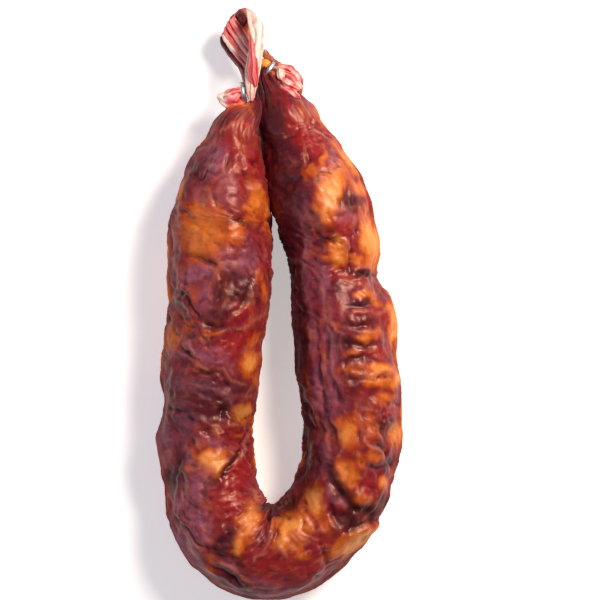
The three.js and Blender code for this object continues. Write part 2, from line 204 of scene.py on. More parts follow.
# Raised folds of casing: height, half width, then the x, y places that each one passes.
RIDGES = [
    (0.4, 0.6, [(-11.0, 65.0), (-12.6, 60.5), (-12.2, 55.0), (-11.0, 50.0)]),
    (0.35, 0.6, [(-13.2, 63.0), (-15.4, 57.5), (-14.6, 52.0)]),
    (0.35, 0.5, [(-9.6, 64.0), (-9.4, 59.0), (-9.8, 54.0)]),
    (0.68, 0.7, [(-21.5, 57.3), (-18.5, 57.0), (-16.5, 58.2), (-14.5, 60.0), (-12.8, 62.8), (-11.2, 65.0)]),
    (0.51, 0.6, [(-11.3, 58.8), (-10.6, 56.0), (-10.2, 52.8)]),
    (0.34, 0.5, [(-16.8, 55.4), (-14.8, 56.2), (-14.0, 54.8)]),
    (0.42, 0.6, [(-13.8, 50.2), (-12.8, 48.6), (-11.3, 47.4)]),
    (0.3, 0.4, [(-8.2, 53.5), (-6.7, 50.5), (-7.0, 47.2)]),
    (0.3, 0.5, [(-8.5, 61.5), (-7.3, 59.5), (-6.4, 57.2)]),
    (0.42, 0.6, [(-25.8, 37.4), (-23.4, 36.2), (-22.3, 33.6), (-20.5, 31.0)]),
    (0.3, 0.5, [(-21.0, 40.5), (-19.8, 38.8)]),
    (0.3, 0.5, [(-14.6, 43.5), (-12.8, 42.4)]),
    (0.42, 0.7, [(-10.7, 37.6), (-8.2, 38.0), (-6.4, 38.8)]),
    (0.38, 0.8, [(-29.5, 3.5), (-28.5, -0.5), (-26.5, -4.5), (-25.0, -7.5)]),
    (0.34, 0.6, [(-17.4, 4.5), (-17.3, 0.5), (-18.8, -2.8), (-20.5, -5.0)]),
    (0.3, 0.5, [(-24.5, -1.6), (-21.6, -3.0), (-19.6, -4.6)]),
    (0.77, 0.7, [(-6.6, 10.8), (-9.0, 5.2), (-10.4, 1.2), (-13.8, -3.2), (-17.0, -6.4)]),
    (0.38, 0.5, [(-10.2, 2.2), (-8.6, -1.8)]),
    (0.64, 0.55, [(-4.8, -2.5), (-7.5, -5.2), (-10.0, -7.6), (-13.0, -9.0), (-16.5, -9.6), (-19.2, -10.6)]),
    (0.26, 0.6, [(-5.5, -11.0), (-9.0, -14.5), (-13.5, -18.5)]),
    (0.26, 0.6, [(-6.5, -15.5), (-9.5, -18.5)]),
    (0.38, 0.7, [(-30.5, -13.5), (-28.5, -16.5), (-26.5, -19.3)]),
    (0.26, 0.6, [(-34.5, -12.8), (-31.5, -12.0), (-31.0, -14.5)]),
    (0.34, 0.6, [(-30.0, -19.8), (-27.0, -21.2), (-24.0, -22.0), (-20.0, -22.6), (-18.0, -21.4)]),
    (0.3, 0.5, [(-32.3, -23.8), (-31.5, -21.6), (-30.3, -21.0)]),
    (0.3, 0.5, [(-26.5, -22.6), (-25.5, -24.2), (-23.3, -24.9), (-21.0, -23.8)]),
    (0.42, 0.6, [(-18.8, -21.8), (-18.4, -24.2), (-15.5, -26.4), (-13.6, -27.6), (-11.2, -27.2)]),
    (0.26, 0.5, [(-16.2, -22.3), (-15.2, -24.8)]),
    (0.34, 0.6, [(-9.4, -28.0), (-10.6, -29.6), (-12.0, -32.5)]),
    (0.38, 0.8, [(-19.0, -31.5), (-16.0, -34.0), (-14.8, -36.5)]),
    (0.3, 0.7, [(-34.0, -26.6), (-27.0, -28.0), (-20.0, -30.8)]),
    (0.3, 0.6, [(-21.8, -41.0), (-20.5, -43.0), (-20.0, -45.0)]),
    (0.34, 0.6, [(-18.2, -40.8), (-15.5, -40.0), (-13.6, -40.8)]),
    (0.42, 0.6, [(-10.3, -43.0), (-11.8, -47.0), (-13.0, -51.0), (-15.4, -54.0)]),
    (0.47, 0.6, [(-25.2, -50.5), (-22.5, -49.6), (-18.8, -49.4)]),
    (0.3, 0.6, [(-29.5, -44.5), (-27.5, -46.0), (-26.8, -48.8)]),
    (0.3, 0.5, [(-30.8, -48.6), (-29.5, -51.5), (-30.3, -54.4)]),
    (0.26, 0.6, [(-37.5, -45.5), (-36.8, -50.0), (-37.3, -53.5)]),
    (0.3, 0.6, [(-28.0, -55.5), (-25.4, -58.6), (-27.0, -61.0)]),
    (0.34, 0.5, [(-18.8, -65.8), (-16.6, -63.6), (-14.0, -63.3), (-11.8, -63.2)]),
    (0.34, 0.6, [(-10.3, -61.5), (-9.6, -65.0)]),
    (0.47, 0.7, [(-9.6, -67.6), (-11.0, -70.5), (-12.4, -73.8), (-14.4, -78.4)]),
    (0.3, 0.6, [(-33.5, -61.5), (-33.0, -66.0), (-34.0, -69.4)]),
    (0.3, 0.6, [(-28.0, -62.5), (-26.0, -66.0), (-24.6, -69.4)]),
    (0.3, 0.6, [(-26.5, -72.6), (-25.3, -75.6), (-24.8, -78.4)]),
    (0.38, 0.7, [(-35.0, -72.4), (-31.0, -76.4), (-27.3, -80.2), (-25.5, -83.0)]),
    (0.42, 0.7, [(-21.5, -86.0), (-17.5, -88.0), (-13.0, -91.3), (-9.4, -93.8)]),
    (0.3, 0.6, [(-13.8, -91.8), (-12.0, -94.2), (-9.5, -96.8)]),
    (0.77, 0.8, [(-2.2, -72.0), (-3.6, -76.0), (-4.0, -80.0)]),
    (0.51, 0.6, [(-1.6, -75.6), (-1.0, -79.0), (0.8, -82.0), (2.0, -84.8)]),
    (0.42, 0.6, [(-4.3, -82.0), (-7.0, -83.2), (-8.5, -84.6), (-8.8, -86.8)]),
    (0.34, 0.7, [(-2.6, -86.8), (-0.3, -87.9)]),
    (0.42, 0.5, [(5.4, -70.0), (6.3, -73.0)]),
    (0.42, 0.5, [(7.8, -70.2), (9.2, -73.0), (10.6, -75.0)]),
    (0.42, 0.5, [(2.0, -75.0), (5.0, -77.5), (7.5, -79.5), (10.0, -80.2)]),
    (0.42, 0.5, [(4.6, -75.2), (8.0, -77.6), (12.0, -79.5)]),
    (0.38, 0.5, [(8.2, -75.8), (11.0, -77.6), (13.6, -78.2)]),
    (0.42, 0.5, [(0.3, -77.8), (3.0, -80.5), (4.6, -83.4)]),
    (0.34, 0.5, [(2.4, -78.0), (5.0, -80.8), (6.8, -83.0)]),
    (0.34, 0.6, [(12.6, -64.6), (14.0, -67.0), (15.0, -69.2)]),
    (0.51, 0.8, [(14.4, -62.0), (17.5, -63.2), (20.2, -65.8), (22.6, -69.2)]),
    (0.34, 0.6, [(18.5, -72.6), (20.6, -76.8)]),
    (0.3, 0.6, [(11.8, -86.2), (14.4, -85.2)]),
    (0.34, 0.6, [(17.3, -52.6), (19.5, -58.0), (22.2, -63.0)]),
    (0.51, 0.9, [(27.3, -44.6), (30.0, -47.5), (32.5, -49.0), (34.8, -51.0)]),
    (0.3, 0.6, [(25.0, -57.0), (27.3, -58.2)]),
    (0.3, 0.6, [(15.5, -37.0), (18.0, -42.0), (19.0, -47.5)]),
    (0.3, 0.6, [(13.0, -37.5), (15.0, -43.0), (16.6, -50.5)]),
    (0.26, 0.6, [(27.0, -36.0), (26.4, -40.0), (27.6, -44.0)]),
    (0.51, 0.6, [(24.4, -25.0), (28.2, -25.1), (30.2, -24.2), (32.6, -24.4), (35.8, -24.0)]),
    (0.47, 0.6, [(21.3, -21.8), (23.5, -20.6), (26.0, -20.2), (28.8, -20.7)]),
    (0.51, 0.6, [(26.2, -10.2), (28.5, -9.4), (30.5, -8.8), (33.0, -7.5)]),
    (0.42, 0.6, [(28.2, -15.6), (30.4, -14.8), (32.6, -13.6)]),
    (0.34, 0.5, [(27.2, -18.4), (30.0, -19.0), (33.4, -17.9)]),
    (0.42, 0.6, [(21.3, -17.0), (23.0, -15.8), (26.4, -15.3)]),
    (0.51, 0.6, [(22.8, -3.3), (26.0, -2.8), (29.8, -2.5)]),
    (0.42, 0.5, [(31.4, -4.8), (33.0, -3.4), (35.0, -2.2)]),
    (0.3, 0.6, [(13.5, -5.0), (16.0, -6.8), (18.0, -8.8), (21.0, -11.2)]),
    (0.3, 0.8, [(8.6, -7.5), (9.4, -13.0), (9.8, -18.5)]),
    (0.26, 0.7, [(15.0, 3.0), (15.4, -8.0), (15.6, -16.0), (16.4, -22.0), (19.0, -29.5)]),
    (0.26, 0.7, [(12.0, 8.0), (13.6, 0.5), (14.8, -6.0)]),
    (0.26, 0.7, [(7.0, 30.0), (7.6, 20.0), (6.8, 8.0), (8.6, -3.0)]),
    (0.26, 0.6, [(10.7, 17.6), (9.0, 22.0), (9.5, 28.4)]),
    (0.47, 0.6, [(12.3, 42.1), (14.5, 42.4), (17.0, 41.3)]),
    (0.42, 0.6, [(10.6, 39.8), (12.4, 38.0), (14.0, 36.4)]),
    (0.47, 0.7, [(19.8, 32.8), (21.6, 34.6), (23.5, 35.6), (26.2, 35.6)]),
    (0.47, 0.7, [(19.6, 31.0), (23.0, 30.8), (26.0, 31.2), (28.4, 31.9)]),
    (0.34, 0.6, [(22.1, 23.8), (23.6, 25.8), (24.9, 28.4)]),
    (0.47, 0.6, [(20.2, 9.4), (22.4, 7.8), (24.6, 7.2), (27.3, 8.8)]),
    (0.38, 0.5, [(29.6, 7.2), (28.2, 4.8), (26.2, 2.8)]),
    (0.34, 0.6, [(26.8, 10.8), (29.8, 12.8)]),
    (0.38, 0.7, [(18.6, 21.6), (21.4, 20.6), (22.4, 17.0), (22.7, 13.0)]),
    (0.38, 0.8, [(16.2, 48.2), (17.0, 44.8), (15.4, 43.4)]),
    (0.42, 0.8, [(16.4, 53.4), (19.0, 50.0), (21.8, 46.2)]),
    (0.34, 0.6, [(8.6, 60.8), (8.6, 58.2), (7.4, 56.0)]),
    (0.42, 0.7, [(9.8, 58.8), (11.4, 57.0), (13.2, 55.4), (15.8, 53.8)]),
    (0.34, 0.6, [(12.3, 59.0), (14.6, 56.6), (16.6, 53.8)]),
    (0.34, 0.6, [(5.0, 64.4), (7.0, 60.5), (9.4, 58.6)]),
    (0.34, 0.6, [(5.8, 67.0), (8.6, 64.0), (11.0, 60.2)]),
]

# Creases between the folds: depth, half width, then the x, y places that each one passes.
CREASES = [
    (0.9, 0.9, [(-29.5, 42.8), (-27.0, 40.6), (-25.6, 43.0), (-22.0, 43.2), (-19.0, 44.6), (-17.6, 48.5),
                (-18.2, 51.4)]),
    (0.7, 0.8, [(-23.0, 36.0), (-21.8, 33.0), (-19.0, 29.8), (-14.5, 28.0), (-10.0, 25.8)]),
    (0.6, 0.7, [(-35.5, 16.6), (-30.5, 15.0), (-26.5, 13.0), (-22.0, 12.0), (-20.4, 8.0)]),
    (0.8, 0.7, [(-19.2, 12.8), (-18.8, 7.0), (-19.6, 2.5), (-20.0, -0.8)]),
    (0.5, 0.6, [(-34.8, 6.0), (-30.0, 5.8), (-26.0, 7.6), (-22.3, 9.1)]),
    (1.2, 0.9, [(-38.5, 4.4), (-34.0, 2.8), (-31.4, 1.8), (-29.2, -1.0), (-27.6, -4.2), (-25.6, -7.0),
                (-21.5, -9.0), (-16.6, -9.0)]),
    (0.6, 0.7, [(-9.3, 5.0), (-12.0, -0.5), (-16.0, -4.5), (-18.8, -7.0)]),
    (0.5, 0.7, [(-17.6, 12.0), (-14.0, 9.0), (-11.5, 7.2), (-8.8, 5.8)]),
    (0.5, 0.6, [(-27.6, -8.4), (-25.0, -12.0), (-24.0, -14.8)]),
    (0.6, 0.7, [(-33.3, -14.4), (-30.0, -17.5), (-28.4, -20.8)]),
    (0.7, 0.9, [(-20.6, -23.4), (-18.0, -27.0), (-14.0, -29.5), (-10.2, -30.6)]),
    (0.8, 0.9, [(-39.0, -36.6), (-34.0, -36.0), (-29.6, -36.9)]),
    (0.35, 0.6, [(-37.4, -28.6), (-33.0, -28.0), (-27.6, -29.4)]),
    (0.35, 0.6, [(-37.8, -31.1), (-33.0, -30.4), (-26.6, -31.7)]),
    (0.35, 0.6, [(-37.0, -33.6), (-31.0, -33.0), (-24.6, -34.5)]),
    (0.35, 0.6, [(-36.4, -39.1), (-31.0, -38.4), (-24.6, -39.7)]),
    (0.4, 0.6, [(-36.9, -42.4), (-32.0, -42.8), (-28.6, -41.5)]),
    (0.8, 0.9, [(-16.8, -34.8), (-18.8, -37.8), (-17.3, -39.2)]),
    (0.9, 0.8, [(-9.6, -40.6), (-12.0, -46.0), (-14.0, -51.0), (-17.5, -54.6), (-21.4, -58.2)]),
    (0.6, 0.8, [(-27.3, -44.8), (-31.5, -48.0), (-33.5, -52.0), (-35.8, -57.4)]),
    (0.5, 0.7, [(-16.8, -46.7), (-13.2, -47.3)]),
    (0.6, 0.8, [(-24.4, -59.6), (-26.5, -64.0), (-25.4, -68.4)]),
    (0.6, 0.8, [(-30.4, -65.6), (-32.5, -70.0), (-30.8, -72.8)]),
    (0.9, 0.8, [(-35.8, -70.8), (-31.5, -75.0), (-27.5, -79.0), (-24.8, -81.6), (-23.5, -86.4)]),
    (0.5, 0.6, [(-25.7, -77.6), (-24.5, -81.4)]),
    (0.9, 0.8, [(-22.8, -87.4), (-18.0, -89.6), (-13.6, -93.4), (-10.8, -96.4)]),
    (0.7, 0.9, [(-15.9, -70.1), (-17.0, -75.0), (-16.5, -80.0), (-15.3, -85.5)]),
    (1.2, 1.2, [(-0.3, -70.2), (-3.0, -71.0), (-4.8, -74.4)]),
    (0.9, 0.9, [(-0.5, -72.0), (-1.2, -77.0), (-3.0, -80.4)]),
    (0.7, 0.8, [(-5.0, -74.6), (-5.2, -79.0), (-7.8, -81.8)]),
    (0.5, 0.6, [(7.1, -70.6), (7.4, -74.0), (9.3, -76.3)]),
    (0.7, 0.8, [(13.4, -77.2), (14.5, -82.0), (16.2, -88.6)]),
    (0.8, 0.8, [(15.3, -63.6), (17.5, -70.0), (20.2, -76.0)]),
    (1.3, 1.7, [(14.8, -56.6), (19.0, -62.5), (23.0, -67.5), (28.4, -70.2)]),
    (0.8, 0.8, [(29.4, -46.4), (33.8, -49.4), (35.6, -52.2)]),
    (0.8, 0.9, [(24.3, -51.3), (28.0, -53.6), (32.0, -55.0), (37.4, -53.2)]),
    (0.7, 0.8, [(33.5, -34.6), (33.5, -39.0), (32.8, -43.0), (34.7, -46.4)]),
    (0.6, 0.7, [(26.0, -35.6), (26.0, -41.0), (27.0, -46.4)]),
    (0.6, 0.7, [(20.3, -23.9), (24.0, -26.0), (29.0, -25.8), (35.8, -25.4)]),
    (0.7, 0.8, [(21.8, -13.5), (26.0, -13.6), (28.5, -14.4), (33.3, -12.6)]),
    (0.6, 0.7, [(22.8, -18.5), (27.0, -18.0), (31.3, -20.1)]),
    (0.9, 0.8, [(22.7, -1.1), (27.0, -1.3), (31.4, 0.4)]),
    (0.6, 0.8, [(20.6, -6.8), (26.0, -7.8), (30.9, -6.8)]),
    (0.5, 0.9, [(14.0, 0.5), (14.4, -14.0), (15.2, -22.0), (18.6, -31.0), (22.2, -35.4)]),
    (0.5, 0.9, [(11.2, -1.6), (12.2, -16.0), (12.6, -28.0), (15.0, -38.0), (17.6, -46.0), (20.2, -54.6)]),
    (0.9, 0.8, [(23.2, 22.0), (23.3, 16.0), (23.0, 12.0), (24.6, 9.6), (28.0, 9.2), (33.0, 9.0)]),
    (0.6, 0.8, [(9.3, 25.9), (13.0, 21.2), (17.5, 19.8), (20.3, 21.8)]),
    (0.6, 0.8, [(6.8, 35.0), (10.0, 29.0), (12.8, 25.1)]),
    (0.5, 0.8, [(5.8, 40.6), (8.4, 35.0), (9.8, 30.7)]),
    (0.6, 0.8, [(22.2, 42.0), (21.8, 37.0), (19.4, 32.0), (20.0, 27.0)]),
    (0.6, 0.8, [(9.2, 60.9), (13.0, 57.5), (14.9, 55.0)]),
    (0.6, 0.8, [(7.3, 54.5), (9.5, 49.0), (8.8, 44.6)]),
    (0.5, 0.8, [(16.8, 43.5), (20.0, 45.0), (22.3, 43.2)]),
    (0.5, 0.7, [(16.3, 8.2), (20.0, 10.2), (22.7, 10.0)]),
    (0.5, 0.8, [(24.7, 3.8), (28.8, 0.0)]),
]

# Where one lobe of casing overlaps the next: height, half width, places. The high side is to the right of
# the way the places run.
OVERLAPS = [
    (1.5, 0.7, [(17.8, -79.5), (20.2, -77.0), (23.0, -76.2), (26.5, -74.2), (30.0, -72.8), (33.6, -73.2)]),
    (0.8, 0.7, [(-17.6, -7.0), (-13.8, -3.6), (-10.6, 0.8), (-9.2, 4.8), (-6.8, 10.6)]),
    (0.7, 0.7, [(-16.6, -36.2), (-15.6, -38.4), (-12.8, -39.6), (-9.6, -39.0)]),
]


# ---------------------------------------------------------------------------------------------------------
# Shapes

STEPS_PER_STATION = 40  # steps in which a curve's length is measured


def smooth_step(low, high, value):
    """0 below low, 1 above high, with a smooth rise between them."""
    share = np.clip((value - low) / (high - low), 0.0, 1.0)
    return share * share * (3.0 - 2.0 * share)


def unit(vectors):
    """The vectors at length 1."""
    return vectors / np.maximum(np.linalg.norm(vectors, axis=-1, keepdims=True), 1e-9)


def curve_through(points, shares):
    """Places on the smooth curve through the points, for shares of its stations from 0 to 1."""
    points = np.asarray(points, float)
    padded = np.vstack([2 * points[:1] - points[1:2], points, 2 * points[-1:] - points[-2:-1]])
    place = np.asarray(shares) * (len(points) - 1)
    start = np.clip(place.astype(int), 0, len(points) - 2)
    t = (place - start)[:, None]
    p0, p1, p2, p3 = (padded[start + k] for k in range(4))
    square = (2 * p0 - 5 * p1 + 4 * p2 - p3) * t**2
    cube = (3 * p1 - p0 - 3 * p2 + p3) * t**3
    return 0.5 * (2 * p1 + (p2 - p0) * t + square + cube)


def even_shares(points, count):
    """Shares at which the curve through the points has evenly spaced places, and the curve's length."""
    fine = np.linspace(0, 1, STEPS_PER_STATION * len(points))
    steps = np.linalg.norm(np.diff(curve_through(points, fine), axis=0), axis=1)
    length = np.concatenate([[0], np.cumsum(steps)])
    return np.interp(np.linspace(0, length[-1], count), length, fine), length[-1]


def lumps(points, size, octaves=3, seed=0):
    """Noise from about -1 to 1 at points in mm, with lumps of about that size in mm."""
    start = Vector((31.7, 11.3, 23.9)) * (seed + 1)
    flat = points.reshape(-1, 3) / size
    values = [noise.fractal(Vector(place) + start, 1.0, 2.0, octaves) for place in flat]
    return np.array(values).reshape(points.shape[:-1])


def wander(points, size, reach, octaves=2, seed=0):
    """A push in mm, up to about reach long, that changes over lumps of that size."""
    parts = [lumps(points, size, octaves, seed + k) for k in range(3)]
    return reach * np.stack(parts, axis=-1)


def surface_normals(points):
    """Outward directions of a rolled sheet of places, whose last corner meets its first."""
    along = np.gradient(points, axis=0)
    ring = points[:, :-1]
    around = np.roll(ring, -1, axis=1) - np.roll(ring, 1, axis=1)
    around = np.concatenate([around, around[:, :1]], axis=1)
    return unit(np.cross(along, around))


def blurred(values, rounds):
    """The values of a rolled sheet, averaged with their neighbours a number of times."""
    ring = values[:, :-1].copy()
    for _ in range(rounds):
        padded = np.pad(ring, ((1, 1), (0, 0)), mode="edge")
        sides = np.roll(ring, 1, axis=1) + np.roll(ring, -1, axis=1)
        ring = 0.2 * (ring + padded[:-2] + padded[2:] + sides)
    return np.concatenate([ring, ring[:, :1]], axis=1)


def rolled_mesh(name, sheets):
    """A mesh of sheets that are each rolled into a tube. A sheet is its places in mm, the amounts that it
    carries, and its length and width in mm, which the UV map holds in metres. places[ring, corner] is a
    place, and each ring's last corner meets its first. Both ends are drawn together and closed."""
    bm = bmesh.new()
    uv = bm.loops.layers.uv.new("sheet")
    cell = bm.verts.layers.int.new("cell")
    first = 0
    for places, _, (length, width) in sheets:
        rings, corners = places.shape[:2]
        grid = bmesh.ops.create_grid(bm, x_segments=rings - 1, y_segments=corners - 1, size=0.5)
        ends = ([], [])
        for vertex in grid["verts"]:
            ring = round((vertex.co.x + 0.5) * (rings - 1))
            corner = round((vertex.co.y + 0.5) * (corners - 1))
            vertex[cell] = first + ring * corners + corner
            vertex.co = places[ring, corner] * MM
            for loop in vertex.link_loops:
                loop[uv].uv = (ring / (rings - 1) * length * MM, corner / (corners - 1) * width * MM)
            if ring in (0, rings - 1):
                ends[ring > 0].append(vertex)
        for end in ends:
            middle = sum((vertex.co for vertex in end), Vector()) / len(end)
            bmesh.ops.pointmerge(bm, verts=end, merge_co=middle)
        seam = [vertex for vertex in grid["verts"] if vertex.is_valid]
        bmesh.ops.remove_doubles(bm, verts=seam, dist=1e-7)
        first += rings * corners
    bmesh.ops.recalc_face_normals(bm, faces=bm.faces)
    mesh = bpy.data.meshes.new(name)
    bm.to_mesh(mesh)
    bm.free()
    cells = np.zeros(len(mesh.vertices), np.int32)
    mesh.attributes["cell"].data.foreach_get("value", cells)
    mesh.attributes.remove(mesh.attributes["cell"])
    for key in sheets[0][1]:
        values = np.concatenate([amounts[key].reshape(-1) for _, amounts, _ in sheets])
        layer = mesh.attributes.new(key, "FLOAT", "POINT")
        layer.data.foreach_set("value", values[cells].astype(np.float32))
    mesh.shade_smooth()
    return mesh


def add_piece(name, mesh, material, node):
    """The finished piece, in place of its plain solid."""
    piece = bpy.data.objects.new(name, mesh)
    mesh.materials.append(material)
    bpy.context.scene.collection.objects.link(piece)
    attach(piece, ROOT_BODY)
    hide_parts(node)


# ---------------------------------------------------------------------------------------------------------
# The filled body

PATCH_DEPTH = 4.0     # mm that a patch reaches down the side, beyond its size
PATCH_OUTSIDE = 2.1   # a patch begins to show at this share of its size from its middle
PATCH_INSIDE = 0.3    # and shows fully from here inwards
# What is added at random on the sides and the underside: how many patches, and their least and most size
# in mm.
SCATTERED = {"fat": (60, 2.5, 6.5), "red": (28, 3.0, 7.0), "dry_and_sheen": (24, 2.5, 6.0)}
LAID = {"fat": FAT_PATCHES, "red": RED_PATCHES, "dry_and_sheen": DRY_AND_SHEEN_PATCHES}
SCATTER_SEED = 7
SCATTER_BELOW = 0.05  # they lie where the skin's normal rises less than this
SCATTER_STRENGTH = (0.55, 1.0)
SCATTER_LENGTH = (1.0, 1.9)  # how much longer than wide they are
# None lie where the arms face each other: the middle and half width of that gap in x, and its least y, in mm.
BETWEEN_ARMS = (-3.0, 9.0, -5.0)

UPPER_SIDE = -0.05    # the skin's upper side is where its normal rises more than this
NEAREST = 6           # places in plan among which the one on top is found
NEAREST_SLACK = 0.5   # mm by which they may lie further than the nearest one

# The noise that bends what is laid on the skin, so that it looks grown: its size and reach in mm, and seed.
PATCH_BENDS = ((6.0, 2.0, 1), (2.2, 0.45, 5))
FOLD_BENDS = ((4.0, 1.0, 9), (1.4, 0.22, 13))

FOLD_REACH = 5.0      # mm around a fold that it can lift
FOLD_STEP = 0.4       # mm between the places of a fold's line
STEEP_SIDE = 0.7      # share of its half width that a fold takes on its steep side
EASY_SIDE = 2.2       # and on its easy side
FOLD_TIP = 0.02       # share of its length at each end where a fold fades no further
FOLD_SHARPNESS = 1.5  # how fast a fold falls away from its crest
FULL_CREST = 0.45     # mm of height from which a fold's crest is fully dry and carries its full painted highlight
CREST_WIDTH = 0.6     # mm that the dry crest and its painted highlight spread to each side
LIP_HEIGHT = 0.3      # a crease's lips stand up by this share of its depth
LIP_PLACE = 2.2       # their distance from the crease, as a share of its half width
LIP_WIDTH = 1.1       # and how wide they are
GUTTER_DEPTH = 0.5    # depth of the groove under an overlap, as a share of its height
GUTTER_PLACE = 1.2    # and its distance from the edge, as a share of the half width
OVERLAP_FADE = 0.6    # share of the reach from which an overlap's height fades
DEEPEST_CREASE = 1.6  # mm

# The random folds of the dried skin run three ways: how much each is drawn out along the body, how it is
# twisted, in radians a mm, and its seed.
FOLD_WAYS = {"lengthways": (2.6, 0.010, 50), "crossways": (0.55, 0.0, 60), "slanting": (1.0, -0.055, 70)}
FOLD_WANDER = (9.0, 3.0)  # size and reach in mm of the noise that bends them
SLANT_SIZE = 26.0     # mm, size of the noise that turns them from lengthways to slanting
CROSS_SIZE = 21.0     # and of the noise that turns both crossways
SLANT_RANGE = (-0.35, 0.35)  # values of that noise from the one way to the other
CROSS_RANGE = (0.0, 0.45)
CREST_ROUNDING = 0.07  # how much the crests of the random folds are rounded
FOLD_LIFT = 2.6       # how fast the random folds fall away from their crests
FOLD_SPACING = 8.0    # mm between the broad ones
SMALL_FOLD_SPACING = 3.6
FINE_FOLD_SPACING = 2.0
SMALL_FOLD_HEIGHT = 0.6  # the small and fine ones' heights, as shares of the broad ones'
FINE_FOLD_HEIGHT = 0.22
FINE_FOLD_WAY = (1.5, 0.03)  # how far the fine ones are drawn out and twisted
UNEVEN_FOLDS = (0.75, 0.5)  # the small ones' usual height, as a share, and how much it varies
TAUT_FAT = 0.6        # share of the broad folds that fat holds smooth, because it shrinks less than lean
NECK_FOLDS = 0.3      # share of the broad folds' height that is left over the necks
SMALL_NECK_FOLDS = 0.4  # and of the small ones'
SIDE_FOLDS = 0.35     # how much deeper the folds are on the sides, as a share
RANDOM_CREST = 0.6    # how dry the crests of the random folds are, and how much painted highlight they carry
OFF_NECKS = (4.0, 22.0)  # mm from the ends over which the neck gives way to the full body

FAT_BULGE = 0.45      # how far fat, red lean and chunks of meat stand out, as shares of the bulge height
RED_BULGE = 0.25
CHUNK_BULGE = 0.9
CHUNK_SIZE = 11.0     # mm
CHUNK_WANDER = (8.0, 2.0)  # size and reach in mm of the noise that bends them

NECK_PLEATS = 9
PLEAT_REACH = 17.0    # mm from each end that the pleats run into the body
FULL_PLEATS = 0.15    # share of that reach where the pleats are at full depth
PLEAT_DEPTH = 0.30    # share of the radius
FINE_PLEATS = 2.6     # fine pleats for each broad one
FINE_PLEAT_DEPTH = 0.10
FINE_PLEAT_SHIFT = 1.0  # radians by which they are out of step with the broad ones
PLEAT_ROUNDING = 0.7  # the lower, the sharper the groove between pleats
PLEAT_MIDDLE = 0.6    # height on a pleat that lies at the body's radius
PLEAT_WANDER = 0.25   # radians that a pleat strays to each side, over lumps of the next size in mm
PLEAT_WANDER_SIZE = 12.0
FLOOR_BLEND = 0.25    # mm over which the skin settles on what it lies on
CAVITY_ROUNDS = 6     # how far round a place its surroundings are taken, to tell how sunken it is


class Skin:
    """The body's skin as a rolled sheet of places, before its surface is worked."""

    def __init__(self, rings, corners):
        stations = np.array(BODY_STATIONS, float)
        stations[:, 2] += BODY_HEIGHT_SHARE * stations[:, 3]
        shares, self.length = even_shares(stations[:, :3], rings)
        line = curve_through(stations, shares)
        centre = line[:, :3] + CENTRING
        self.radius = line[:, 3:]
        forward = unit(np.gradient(centre, axis=0))
        side = unit(np.cross([0.0, 0.0, 1.0], forward))
        rise = np.cross(forward, side)
        self.turn = np.linspace(0, 2 * math.pi, corners)[None, :] * np.ones((rings, 1))
        out = -np.sin(self.turn) * self.radius
        up = -np.cos(self.turn) * self.radius * BODY_HEIGHT_SHARE
        self.places = centre[:, None] + out[..., None] * side[:, None] + up[..., None] * rise[:, None]
        self.normals = surface_normals(self.places)
        self.along = np.linspace(0, self.length, rings)[:, None] * np.ones((1, corners))
        self.from_end = np.minimum(self.along, self.length - self.along)
        self.upper = self.places[self.normals[..., 2] > UPPER_SIDE]
        self.tree = kdtree.KDTree(len(self.upper))
        for index, place in enumerate(self.upper):
            self.tree.insert((place[0], place[1], 0.0), index)
        self.tree.balance()

    def straightened(self, stretch=1.0, twist=0.0):
        """Places on the body as if it were straight, drawn out along it and twisted (in radians a mm)."""
        reach = np.maximum(self.radius, 5.0)
        turn = self.turn + twist * self.along
        return np.stack([self.along / stretch, reach * np.cos(turn), reach * np.sin(turn)], axis=-1)

    def on_top(self, x, y):
        """The place on the skin's upper side at x and y."""
        found = self.tree.find_n((x + CENTRING[0], y + CENTRING[1], 0.0), NEAREST)
        near = [index for _, index, distance in found if distance < found[0][2] + NEAREST_SLACK]
        return max((self.upper[index] for index in near), key=lambda place: place[2])

    def bent(self, bends):
        """The skin's places, bent by noise of several sizes."""
        places = self.places
        for size, reach, seed in bends:
            places = places + wander(self.straightened(), size, reach, seed=seed)
        return places


def patch_amount(skin, bent, patches):
    """How much of the laid patches shows at each place, from 0 to 1."""
    amount = np.zeros(skin.turn.shape)
    for x, y, long, wide, degrees, strength in patches:
        away = bent - skin.on_top(x, y)
        angle = math.radians(degrees)
        run = away[..., 0] * math.cos(angle) + away[..., 1] * math.sin(angle)
        across = away[..., 1] * math.cos(angle) - away[..., 0] * math.sin(angle)
        depth = away[..., 2] / (max(long, wide) + PATCH_DEPTH)
        distance = np.sqrt((run / long) ** 2 + (across / wide) ** 2 + depth**2)
        amount = np.maximum(amount, strength * smooth_step(PATCH_OUTSIDE, PATCH_INSIDE, distance))
    return amount


def scattered_amount(skin, bent, rng, count, smallest, largest):
    """The same for patches laid at random on the sides and the underside."""
    amount = np.zeros(skin.turn.shape)
    middle, reach, start = BETWEEN_ARMS
    between_arms = (np.abs(skin.places[..., 0] - middle) < reach) & (skin.places[..., 1] > start)
    low = np.argwhere((skin.normals[..., 2] < SCATTER_BELOW) & ~between_arms)
    for ring, corner in low[rng.integers(0, len(low), count)]:
        size = rng.uniform(smallest, largest)
        strength = rng.uniform(*SCATTER_STRENGTH)
        drawn_out = rng.uniform(*SCATTER_LENGTH)
        following = skin.places[min(ring + 1, len(skin.places) - 1), corner]
        forward = unit(following - skin.places[ring - 1, corner])
        away = bent - skin.places[ring, corner]
        run = away @ forward
        rest = np.sum(away**2, axis=-1) - run**2
        distance = np.sqrt((run / drawn_out) ** 2 + np.maximum(rest, 0)) / size
        amount = np.maximum(amount, strength * smooth_step(PATCH_OUTSIDE, PATCH_INSIDE, distance))
    return amount


